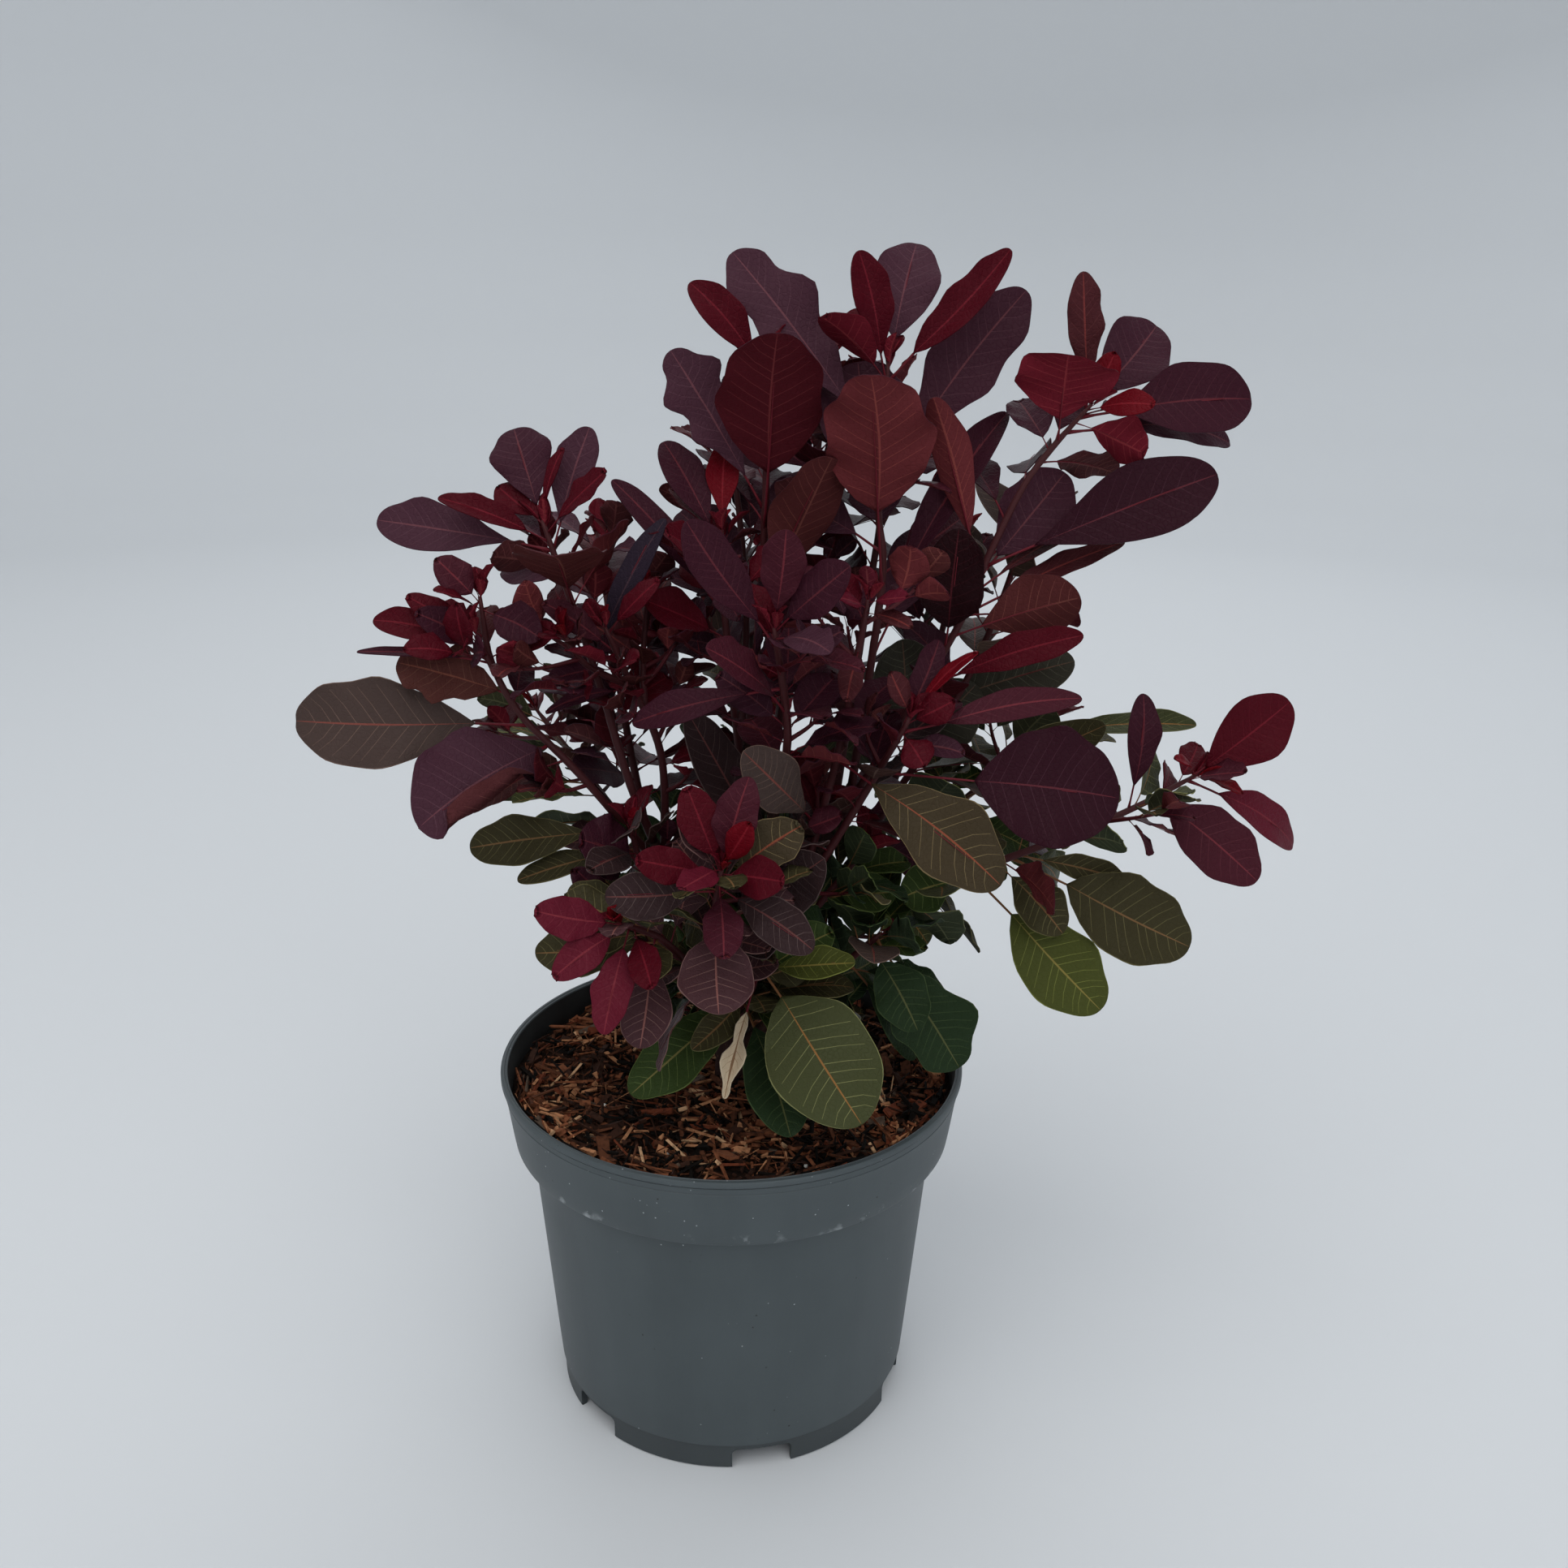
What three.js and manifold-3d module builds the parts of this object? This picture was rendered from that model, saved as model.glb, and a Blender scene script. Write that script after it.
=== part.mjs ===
// A purple smoke bush with several stems, in a three litre nursery pot.
// Millimetres, +Z up. The origin is the middle of the pot's underside, and -Y is the front.
import * as THREE from 'three';
import { mergeVertices } from 'three/addons/utils/BufferGeometryUtils.js';
import Module from 'manifold-3d';

const wasm = await Module();
wasm.setup();

// Driving dimensions
const gap = 0.3;
const pot = {
  sides: 32, wall: 1.8, height: 147, rimRadius: 95, lipHeight: 3, lipDepth: 1,
  bandBottom: 117, bandRadius: 90.3, shoulder: 3, bodyTopRadius: 83.4, bodyBottomRadius: 74.6,
  footHeight: 12, footRadius: 73.3, footWall: 2.8, floorBottom: 5.5, floorTop: 8,
  notches: 6, notchTurn: -78.5, notchWidth: 24, notchHeight: 9, notchDepth: 18,
  padRadius: 16,
};
const mulch = { level: 136, tilt: 3, mound: 0.7, rings: [0.88, 0.5], seed: 5 };
const stump = { route: [[-1, 1, 122], [0, 0, 148], [2, -3, 173]], foot: 8.5, top: 6, sides: 10, steps: 4 };
const bough = { foot: 3.4, tip: 2.5, sides: 6, steps: 5, collarOut: 8.5, collarRise: 13 };
const shoot = { foot: 2.3, tip: 1.5, sides: 3, steps: 5, sideScale: 0.8 };
const leaf = {
  stalkShare: 0.22, stalkHalf: 0.55, stalkDepth: 0.9, thick: 1.1, fold: 0.22, arch: 0.05,
  outlines: [
    { reach: 24, widest: [[0.6, 0.5]] },
    { reach: 60, widest: [[0.3, 0.47], [0.74, 0.5]] },
    { reach: Infinity, widest: [[0.24, 0.36], [0.55, 0.5], [0.86, 0.36]] },
  ],
  clearWidth: 1.2, clearThick: 1.2, rootCorners: 3,
};
const rule = {
  spiral: 0.618, open: [78, 34], openSpread: 14, size: [1.15, 0.7],
  slimmest: 0.42, slimSpread: 0.14, twist: 50,
};
const swings = [0, 5, -5, 10, -10, 16, -16, 22, -22];
const crown = { centre: [25, 0, 300], reach: [212, 160, 172], lowest: 146, rimClear: 152 };

// Boughs leave the stump at a share of its height and end where their foliage starts.
const boughs = {
  right: { at: 0.62, route: [[30, -8, 190], [59, -10, 214]] },
  centre: { at: 0.75, route: [[18, -20, 205], [31, -35, 241]] },
  top: { at: 0.85, route: [[22, -2, 212], [46, -8, 268]] },
  topLeft: { at: 0.95, route: [[0, 6, 222], [6, 4, 282]] },
  middle: { at: 0.85, route: [[2, -19, 208], [18, -44, 275]] },
  left: { at: 0.8, route: [[-14, -14, 208], [-29, -24, 250]] },
  front: { at: 0.55, route: [[-1, -30, 182], [-6, -56, 206]] },
  lowRight: { at: 0.4, route: [[22, -16, 176], [36, -22, 190]] },
  back: { at: 0.82, route: [[8, 22, 212], [16, 42, 262]] },
  backLeft: { at: 0.7, route: [[-22, 18, 200], [-38, 30, 240]] },
  backRight: { at: 0.75, route: [[30, 20, 200], [58, 34, 232]] },
  lowBack: { at: 0.45, route: [[-2, 30, 180], [-2, 48, 200]] },
};

// Each shoot carries on from a bough along a route. Its marked leaves are the ones that give the
// bush its outline: [share of the route, tip x, tip y, tip z, width, turn of the upper face to -Y].
// The other leaves grow by rule: count, size, part of the route, and the arc of bearings they fill.
const shoots = {
  top_centre: {
    bough: 'top', at: 1, route: [[55, -10, 347], [53, -8, 376], [55, -5, 426]],
    marked: [[0.98, 65, 14, 467, 24, 0.6], [0.95, 43, -8, 463, 14, 0.8], [0.95, 97, 0, 463, 13, 0.8],
      [0.72, 105, 15, 449, 25, 0.85], [0.33, 47, -45, 425, 42, -0.6], [0.6, 45, 14, 424, 34, 0.8],
      [0.25, 99, 10, 410, 14, 0.5], [0.2, 81, 28, 366, 22, 0.5], [0.8, -1, 18, 462, 25, 0.85]],
    leaves: 7, size: 46, from: 0.3, arc: [20, 200], seed: 11,
  },
  top_left: {
    bough: 'topLeft', at: 1, route: [[11, 0, 351], [13, 0, 427]],
    marked: [[0.95, -15, 0, 452, 14, 0.8], [0.64, -23, 5, 428, 22, 0.8],
      [0.6, 16, -38, 438, 37, -0.6], [0.9, 50, 8, 442, 14, 0.3], [0.35, 35, -20, 395, 24, -0.3]],
    leaves: 7, size: 46, from: 0.3, arc: [20, 180], seed: 12,
  },
  inner_left: {
    bough: 'topLeft', at: 0.9, route: [[-2, -8, 325], [-4, -8, 366]],
    marked: [[0.9, -26, 10, 396, 15, 0.5], [0.95, -3, 5, 396, 12, 0.3], [0.8, -24, -25, 367, 20, 0.4],
      [0.6, -44, 0, 383, 11, 0.5]],
    leaves: 5, size: 36, from: 0.35, arc: [60, 240], seed: 13,
  },
  upper_right: {
    bough: 'top', at: 0.8,
    route: [[79, -12, 323], [92, -10, 354], [105, -8, 383], [117, -5, 399], [128, -5, 412]],
    marked: [[0.97, 121, -10, 457, 13, 0.8], [0.93, 154, 16, 439, 25, 0.8], [0.93, 187, 5, 415, 27, 0.85],
      [0.8, 114, -30, 432, 30, -0.8], [0.97, 146, -24, 414, 11, 0.8], [1, 135, -5, 430, 10, 0.6],
      [0.9, 147, -14, 396, 15, -0.5], [0.85, 187, 15, 400, 14, 0.6], [0.4, 173, -15, 382, 28, 0.9],
      [0.36, 122, 5, 386, 25, 0.7], [0.75, 105, 17, 412, 17, 0.7], [0.32, 135, 5, 369, 10, 0.3],
      [0.2, 81, -27, 369, 24, 0.8], [0.22, 126, -22, 346, 25, -0.7], [0.26, 145, 0, 360, 10, 0.5],
      [0.38, 70, -20, 416, 14, -0.7], [0.16, 128, -25, 332, 13, 0.7]],
    leaves: 9, size: 44, from: 0.25, arc: [0, 150], seed: 14,
  },
  mid_right: {
    bough: 'centre', at: 1, route: [[50, -42, 278], [64, -50, 308]],
    marked: [[0.95, 79, -52, 315, 12, 0.7], [0.9, 69, -58, 293, 13, 0.6], [1, 56, -52, 325, 9, 0.5],
      [0.8, 84, -50, 296, 9, 0.5], [0.9, 127, -35, 312, 12, 0.7], [0.98, 87, -45, 331, 6, 0],
      [0.85, 75, -42, 332, 11, 0.8], [0.62, 139, -55, 270, 41, 0.85]],
    leaves: 3, size: 34, from: 0.3, arc: [20, 120], seed: 15,
  },
  pink: {
    bough: 'centre', at: 0.82, route: [[38, -39, 285], [45, -45, 328], [48, -50, 350]],
    marked: [[0.2, 5, -65, 300, 20, 0.8], [0.36, 96, -62, 255, 27, 0.85], [1, 47, -56, 363, 6, 0],
      [0.98, 61, -62, 353, 8, 0.5], [0.92, 62, -66, 344, 7, 0.6], [0.95, 37, -58, 352, 7, 0.5],
      [0.7, 41, -66, 319, 9, 0.5]],
    leaves: 4, size: 30, from: 0.4, arc: [30, 200], seed: 16,
  },
  centre: {
    bough: 'middle', at: 1, route: [[21, -50, 303], [16, -60, 342]],
    marked: [[0.9, -14, -62, 378, 17, 0.7], [0.98, 20, -72, 378, 15, 0.7], [0.98, 41, -74, 366, 17, 0.7],
      [0.6, -6, -86, 341, 16, 0.5], [0.95, 34, -96, 343, 13, 0.4], [0.72, -34, -52, 306, 13, 0.6]],
    leaves: 5, size: 34, from: 0.3, arc: [30, 200], seed: 17,
  },
  left_upper: {
    bough: 'left', at: 1, route: [[-38, -25, 275], [-47, -20, 305], [-56, -15, 332], [-69, -10, 369]],
    marked: [[0.98, -81, 5, 401, 21, 0.8], [0.93, -130, -5, 367, 20, 0.7], [0.95, -104, -18, 379, 10, 0.6],
      [1, -61, -8, 395, 6, 0.3], [0.99, -86, -2, 380, 12, 0.7], [0.93, -52, 5, 400, 15, 0.7],
      [0.97, -43, -20, 388, 11, 0.5], [0.8, -58, -62, 369, 32, -0.3], [0.85, -86, 5, 351, 18, 0.6],
      [0.8, -37, -5, 368, 17, -0.3], [0.62, -25, -20, 372, 11, 0.6]],
    leaves: 7, size: 36, from: 0.4, arc: [20, 180], seed: 18,
  },
  left_mid: {
    bough: 'left', at: 0.86, route: [[-55, -34, 280], [-76, -32, 302], [-86, -31, 322], [-89, -30, 345]],
    side: [{ at: 0.7, route: [[-90, -36, 332]] }],
    marked: [[0.97, -103, -32, 359, 13, 0.6], [0.95, -66, -42, 333, 15, 0.7], [0.95, -102, -40, 350, 7, 0.3],
      [0.8, -126, -36, 338, 12, 0.7], [0.84, -114, -30, 346, 10, 0.7], [0.78, -109, -44, 342, 12, 0.7],
      [0.74, -133, -35, 325, 5, 0.4], [0.76, -61, -44, 336, 11, 0.7], [0.6, -120, -36, 321, 18, 0.6],
      [0.45, -160, -27, 297, 33, 0.85], [0.36, -108, -64, 270, 40, 0.8], [0.3, -95, -42, 267, 27, -0.4],
      [0.12, -100, -20, 245, 19, 0.8], [0.08, -81, -26, 234, 11, 0.5]],
    leaves: 4, size: 30, from: 0.5, arc: [60, 170], seed: 19,
  },
  left_inner: {
    bough: 'left', at: 0.92, route: [[-26, -22, 284], [-38, -26, 316], [-45, -28, 334]],
    side: [{ at: 0.5, route: [[-33, -14, 318], [-31, -10, 342]] },
      { at: 0.6, route: [[-52, -34, 322], [-58, -36, 332]] }],
    marked: [[0.95, -26, -12, 352, 9, 0.5], [0.8, -67, -22, 343, 10, 0.5], [0.6, -66, -38, 306, 6, 0.5],
      [0.7, -68, -38, 314, 9, 0.5]],
    leaves: 17, size: 22, from: 0.35, arc: [0, 360], seed: 20,
  },
  front_rosette: {
    bough: 'front', at: 1, route: [[-4, -70, 240], [-1, -80, 262]],
    marked: [[0.95, -13, -75, 290, 15, 0.8], [0.93, 8, -77, 294, 15, 0.8], [1, 9, -88, 282, 10, 0.8],
      [0.93, -30, -90, 269, 12, 0.8], [1, -13, -113, 268, 11, 0.5], [0.95, 21, -96, 264, 15, 0.8],
      [0.85, 26, -74, 276, 17, 0.8], [0.75, -40, -86, 254, 17, 0.8], [0.85, 1, -108, 240, 14, 0.6],
      [0.8, 30, -96, 240, 16, 0.8], [0.55, -1, -102, 217, 27, 0.7]],
    leaves: 4, size: 34, from: 0.3, arc: [20, 160], seed: 21,
  },
  front_left: {
    bough: 'front', at: 0.86, route: [[-22, -66, 228], [-36, -80, 241]],
    marked: [[0.95, -64, -90, 250, 15, 0.8], [0.95, -57, -97, 229, 13, 0.8], [0.9, -40, -106, 213, 14, 0.8],
      [0.85, -23, -106, 229, 12, 0.8], [0.6, -29, -92, 199, 19, 0.8], [0.5, -69, -66, 223, 18, 0.7],
      [0.6, -57, -60, 246, 14, 0.7]],
    leaves: 3, size: 34, from: 0.3, arc: [100, 200], seed: 22,
  },
  low_front: {
    bough: 'front', at: 0.55, route: [[8, -42, 196], [12, -54, 215]],
    marked: [[0.95, 49, -94, 171, 40, 0.5], [0.6, -35, -72, 169, 22, 0.8], [0.35, 24, -86, 161, 24, 0.5],
      [0.85, 46, -66, 221, 14, 0.4], [0.5, -12, -76, 190, 12, 0.8], [0.75, 0, -84, 174, 9, 0.5]],
    leaves: 3, size: 40, from: 0.3, arc: [0, 90], seed: 23,
  },
  low_right: {
    bough: 'lowRight', at: 1, route: [[48, -25, 204], [58, -28, 215]],
    marked: [[0.9, 90, -32, 160, 30, 0.85], [0.8, 72, -46, 183, 21, 0.85], [0.4, 77, -22, 157, 16, 0.6],
      [0.7, 54, -64, 222, 20, 0.7]],
    leaves: 4, size: 42, from: 0.2, arc: [0, 120], seed: 24,
  },
  right: {
    bough: 'right', at: 1, route: [[97, -15, 237], [122, -15, 248], [153, -10, 260], [179, -5, 273]],
    marked: [[0.2, 65, -24, 228, 19, 0.8], [0.22, 143, -37, 188, 30, 0.85], [0.35, 178, -26, 210, 33, 0.85],
      [0.3, 126, -37, 221, 19, 0.8], [0.38, 154, -12, 231, 11, 0.7], [0.4, 136, 20, 215, 20, 0.6],
      [0.98, 214, 2, 301, 24, 0.85], [0.97, 230, 14, 238, 17, 0.6], [0.85, 201, -22, 236, 23, 0.85],
      [1, 168, -16, 284, 6, 0.3], [1, 196, -10, 267, 7, 0.3], [0.75, 157, -6, 305, 13, 0.7]],
    leaves: 5, size: 40, from: 0.3, arc: [20, 160], seed: 25,
  },
  inner_right: {
    bough: 'centre', at: 0.62, route: [[34, -26, 226], [50, -22, 246]],
    marked: [], leaves: 10, size: 38, from: 0.2, arc: [-120, 200], seed: 34,
  },
  low_left: {
    bough: 'left', at: 0.6, route: [[-30, -32, 236], [-36, -42, 262]],
    marked: [[0.7, -52, -52, 262, 20, 0.6]], leaves: 9, size: 36, from: 0.2, arc: [-60, 300], seed: 35,
  },
  inner_front: {
    bough: 'centre', at: 0.5, route: [[12, -36, 226], [10, -50, 258]],
    marked: [[0.6, 32, -72, 262, 20, 0.8]], leaves: 7, size: 36, from: 0.25, arc: [-170, 60], seed: 36,
  },
  inner_low: {
    bough: 'middle', at: 0.6, route: [[20, -24, 232], [36, -18, 262]],
    marked: [[0.5, -17, -55, 305, 16, 0.7]],
    leaves: 14, size: 42, from: 0.15, arc: [0, 360], seed: 26,
  },
  behind_top: {
    bough: 'top', at: 0.9, route: [[50, 16, 325], [58, 38, 375], [60, 50, 408]],
    marked: [], leaves: 10, size: 44, from: 0.2, arc: [50, 240], seed: 37,
  },
  behind_left: {
    bough: 'topLeft', at: 0.85, route: [[4, 28, 330], [-2, 52, 388]],
    marked: [], leaves: 10, size: 42, from: 0.2, arc: [20, 220], seed: 38,
  },
  behind_right: {
    bough: 'backRight', at: 0.9, route: [[94, 36, 300], [118, 44, 366]],
    marked: [], leaves: 10, size: 42, from: 0.2, arc: [-20, 180], seed: 39,
  },
  back_top: {
    bough: 'back', at: 1, route: [[24, 46, 330], [32, 66, 382], [32, 80, 418]],
    marked: [], leaves: 16, size: 50, from: 0.15, arc: [0, 360], seed: 27,
  },
  back_middle: {
    bough: 'back', at: 0.85, route: [[18, 72, 290], [10, 112, 334]],
    marked: [], leaves: 12, size: 46, from: 0.2, arc: [0, 360], seed: 28,
  },
  back_left_upper: {
    bough: 'backLeft', at: 1, route: [[-48, 48, 285], [-60, 78, 350]],
    marked: [], leaves: 13, size: 44, from: 0.2, arc: [0, 360], seed: 29,
  },
  back_left_low: {
    bough: 'backLeft', at: 0.8, route: [[-64, 62, 246], [-92, 94, 268]],
    marked: [], leaves: 11, size: 48, from: 0.15, arc: [0, 360], seed: 30,
  },
  back_right_upper: {
    bough: 'backRight', at: 1, route: [[78, 52, 288], [96, 78, 352]],
    marked: [[0.3, 66, 25, 318, 28, 0.8], [0.25, 98, 30, 296, 28, 0.8], [0.45, 136, 25, 308, 26, 0.8]],
    leaves: 10, size: 46, from: 0.2, arc: [0, 360], seed: 31,
  },
  back_right_low: {
    bough: 'backRight', at: 0.8, route: [[98, 58, 240], [130, 82, 266]],
    marked: [[0.9, 188, 32, 281, 14, 0.5], [0.5, 147, 22, 284, 20, 0.8]],
    leaves: 10, size: 50, from: 0.15, arc: [0, 360], seed: 32,
  },
  low_back: {
    bough: 'lowBack', at: 1, route: [[0, 76, 215], [4, 118, 242]],
    marked: [], leaves: 12, size: 50, from: 0.1, arc: [0, 360], seed: 33,
  },
};

const finishes = {
  pot: { color: 0x444b4f, roughness: 0.5, metalness: 0 },
  mulch: { color: 0x6b3f28, roughness: 0.95, metalness: 0 },
  bark: { color: 0x4a2420, roughness: 0.7, metalness: 0 },
  foliage: { color: 0x5c2136, roughness: 0.6, metalness: 0 },
};
for (const name of Object.keys(finishes)) finishes[name] = new THREE.MeshStandardMaterial(finishes[name]);

// Small helpers
const vec = ([x, y, z]) => new THREE.Vector3(x, y, z);
const mix = (a, b, share) => a + (b - a) * share;
const radians = THREE.MathUtils.degToRad;

function dice(seed) {
  let state = seed * 7919;
  return () => {
    state = (state * 1664525 + 1013904223) % 4294967296;
    return state / 4294967296;
  };
}

function solidOf(geometry) {
  geometry.deleteAttribute('normal');
  geometry.deleteAttribute('uv');
  const merged = mergeVertices(geometry, 1e-4);
  const triVerts = Uint32Array.from(merged.index.array);
  const vertProperties = merged.attributes.position.array;
  return new wasm.Manifold(new wasm.Mesh({ numProp: 3, vertProperties, triVerts }));
}

function geometryOf(solid) {
  const mesh = solid.getMesh();
  const geometry = new THREE.BufferGeometry();
  geometry.setAttribute('position', new THREE.BufferAttribute(mesh.vertProperties, 3));
  geometry.setIndex(new THREE.BufferAttribute(mesh.triVerts, 1));
  geometry.computeVertexNormals();
  return geometry;
}

function largest(solid) {
  return solid.decompose().reduce((best, part) => (part.volume() > best.volume() ? part : best));
}

// Routes and limbs
function curveOf(points) {
  return new THREE.CatmullRomCurve3(points.map(vec), false, 'catmullrom', 0.5);
}

function headingAt(curve, share) {
  const before = curve.getPoint(Math.max(share - 0.01, 0));
  return curve.getPoint(Math.min(share + 0.01, 1)).sub(before).normalize();
}

// A cylinder whose rings are carried onto the curve, so that the limb tapers evenly along it.
function limb(curve, footRadius, tipRadius, sides, steps) {
  const geometry = new THREE.CylinderGeometry(tipRadius, footRadius, 1, sides, steps);
  const frames = curve.computeFrenetFrames(steps, false);
  const place = geometry.attributes.position;
  for (let i = 0; i < place.count; i += 1) {
    const ring = Math.round((place.getY(i) + 0.5) * steps);
    const across = frames.normals[ring].clone().multiplyScalar(place.getX(i));
    const over = frames.binormals[ring].clone().multiplyScalar(-place.getZ(i));
    const point = curve.getPointAt(ring / steps).add(across).add(over);
    place.setXYZ(i, point.x, point.y, point.z);
  }
  geometry.deleteAttribute('normal');
  geometry.deleteAttribute('uv');
  return mergeVertices(geometry, 1e-4);
}

// Leaves: a three-sided stalk that widens into a blade, folded a little along its midrib
function bladeFrame(root, tip, heading, turn, twist) {
  const along = tip.clone().sub(root);
  const reach = along.length();
  along.normalize();
  const up = heading.clone().multiplyScalar(0.5).add(new THREE.Vector3(0, 0, 0.5));
  up.multiplyScalar(1 - Math.abs(turn)).add(new THREE.Vector3(0, -turn, 0.3 * turn));
  up.addScaledVector(along, -up.dot(along)).normalize().applyAxisAngle(along, twist);
  return { root, along, reach, up, side: up.clone().cross(along) };
}

function stitch(faces, rowA, rowB, flip) {
  let i = 0;
  let j = 0;
  while (i < rowA.length - 1 || j < rowB.length - 1) {
    const aBehind = (i + 1) * (rowB.length - 1) <= (j + 1) * (rowA.length - 1);
    const stepA = j === rowB.length - 1 || (i < rowA.length - 1 && aBehind);
    const face = stepA ? [rowA[i], rowB[j], rowA[i + 1]] : [rowA[i], rowB[j], rowB[j + 1]];
    faces.push(...(flip ? face.reverse() : face));
    if (stepA) i += 1;
    else j += 1;
  }
}

function leafShell(frame, width, extraWidth = 0, extraThick = 0) {
  const { root, along, reach, up, side } = frame;
  const points = [];
  const put = (share, across, lift) => {
    const rise = lift + leaf.fold * Math.abs(across) + leaf.arch * reach * 4 * share * (1 - share);
    const point = root.clone().addScaledVector(along, share * reach).addScaledVector(side, across);
    return points.push(point.addScaledVector(up, rise)) - 1;
  };
  const half = leaf.stalkHalf + extraThick / 2;
  const keel = -leaf.stalkDepth - extraThick / 2;
  const neck = leaf.stalkShare;
  const base = [put(0, -half, 0), put(0, 0, keel), put(0, half, 0)];
  const throat = [put(neck, -half, 0), put(neck, 0, keel), put(neck, half, 0)];
  const topRows = [[base[0], base[2]], [throat[0], throat[2]]];
  const underRows = [base, throat];
  const lift = (leaf.thick + extraThick) / 2;
  for (const [share, spread] of leaf.outlines.find((outline) => reach < outline.reach).widest) {
    const at = mix(neck, 1, share);
    const right = put(at, -spread * (width + extraWidth), 0);
    const left = put(at, spread * (width + extraWidth), 0);
    topRows.push([right, put(at, 0, lift), left]);
    underRows.push([right, put(at, 0, -lift), left]);
  }
  const end = [put(1, 0, 0)];
  const faces = [base[0], base[2], base[1]];
  [...topRows.slice(1), end].forEach((row, k) => stitch(faces, topRows[k], row, false));
  [...underRows.slice(1), end].forEach((row, k) => stitch(faces, underRows[k], row, true));
  const geometry = new THREE.BufferGeometry().setFromPoints(points);
  geometry.setIndex(faces);
  return geometry;
}

// Clearance: no edge of one piece may pass through a face of another. On one shoot that holds
// for the blades only, as the stalks run into the stem: a leaf's first corners are its stalk's root.
function obstacle(owner, geometry, rootCorners = 0) {
  const place = geometry.attributes.position;
  const corners = Array.from({ length: place.count }, () => new THREE.Vector3());
  corners.forEach((corner, i) => corner.fromBufferAttribute(place, i));
  const index = geometry.index.array;
  const whole = { faces: [], edges: [] };
  const blade = { faces: [], edges: [] };
  for (let i = 0; i < index.length; i += 3) {
    const [a, b, c] = [index[i], index[i + 1], index[i + 2]];
    const parts = Math.min(a, b, c) < rootCorners ? [whole] : [whole, blade];
    for (const part of parts) {
      part.faces.push([corners[a], corners[b], corners[c]]);
      for (const [p, q] of [[a, b], [b, c], [c, a]]) if (p < q) part.edges.push([corners[p], corners[q]]);
    }
  }
  return { owner, whole, blade, box: new THREE.Box3().setFromPoints(corners) };
}

function pierces(edge, face) {
  const [p, q] = edge;
  const [a, b, c] = face;
  const ab = b.clone().sub(a);
  const ac = c.clone().sub(a);
  const line = q.clone().sub(p);
  const cross = line.clone().cross(ac);
  const size = ab.dot(cross);
  if (Math.abs(size) < 1e-12) return false;
  const from = p.clone().sub(a);
  const u = from.dot(cross) / size;
  if (u < 0 || u > 1) return false;
  const turned = from.cross(ab);
  const v = line.dot(turned) / size;
  const t = ac.dot(turned) / size;
  return v >= 0 && u + v <= 1 && t >= 0 && t <= 1;
}

function meets(one, other) {
  if (!one.box.intersectsBox(other.box)) return false;
  const [a, b] = one.owner === other.owner ? [one.blade, other.blade] : [one.whole, other.whole];
  return a.edges.some((edge) => b.faces.some((face) => pierces(edge, face)))
    || b.edges.some((edge) => a.faces.some((face) => pierces(edge, face)));
}

function inCrown(piece) {
  return ['x', 'y', 'z'].every((axis, i) => piece.box.max[axis] < crown.centre[i] + crown.reach[i]
    && piece.box.min[axis] > crown.centre[i] - crown.reach[i]);
}

function abovePot(piece) {
  const lowest = (p) => (Math.hypot(p.x, p.y) > pot.bodyTopRadius ? crown.rimClear : crown.lowest);
  return piece.whole.faces.every((face) => face.every((p) => p.z > lowest(p)));
}

// Wood: the stump, the boughs, and the shoots' own stems
const placed = [];
const stumpCurve = curveOf(stump.route);
const stumpSolid = solidOf(limb(stumpCurve, stump.foot, stump.top, stump.sides, stump.steps));
const stumpGrown = solidOf(limb(stumpCurve, stump.foot + gap, stump.top + gap, stump.sides, stump.steps));
placed.push(obstacle('main_stem', limb(stumpCurve, stump.foot, stump.top, stump.sides, stump.steps)));

// A bough leaves the stump through a collar point beside it, and is cut clear of the boughs before it.
let standing = stumpGrown;
for (const [name, entry] of Object.entries(boughs)) {
  entry.node = `bough_${name}`;
  const foot = stumpCurve.getPoint(entry.at);
  const collar = vec(entry.route[0]).sub(foot).setZ(0).setLength(bough.collarOut).add(foot);
  collar.z += bough.collarRise;
  entry.curve = curveOf([foot.toArray(), collar.toArray(), ...entry.route]);
  const size = [bough.sides, bough.steps];
  entry.solid = largest(solidOf(limb(entry.curve, bough.foot, bough.tip, ...size)).subtract(standing));
  entry.grown = solidOf(limb(entry.curve, bough.foot + gap, bough.tip + gap, ...size));
  standing = standing.add(entry.grown);
  placed.push(obstacle(entry.node, limb(entry.curve, bough.foot, bough.tip, ...size)));
}

for (const [name, entry] of Object.entries(shoots)) {
  entry.node = `foliage_${name}`;
  const from = boughs[entry.bough];
  const start = from.curve.getPoint(entry.at);
  if (entry.at === 1) start.addScaledVector(headingAt(from.curve, 1), gap);
  entry.curves = [curveOf([start.toArray(), ...entry.route])];
  for (const side of entry.side ?? []) {
    entry.curves.push(curveOf([entry.curves[0].getPoint(side.at).toArray(), ...side.route]));
  }
  entry.pieces = entry.curves.map((curve, k) => {
    const scale = k === 0 ? 1 : shoot.sideScale;
    return limb(curve, shoot.foot * scale, shoot.tip * scale, shoot.sides, shoot.steps);
  });
  for (const piece of entry.pieces) placed.push(obstacle(entry.node, piece));
}

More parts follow.
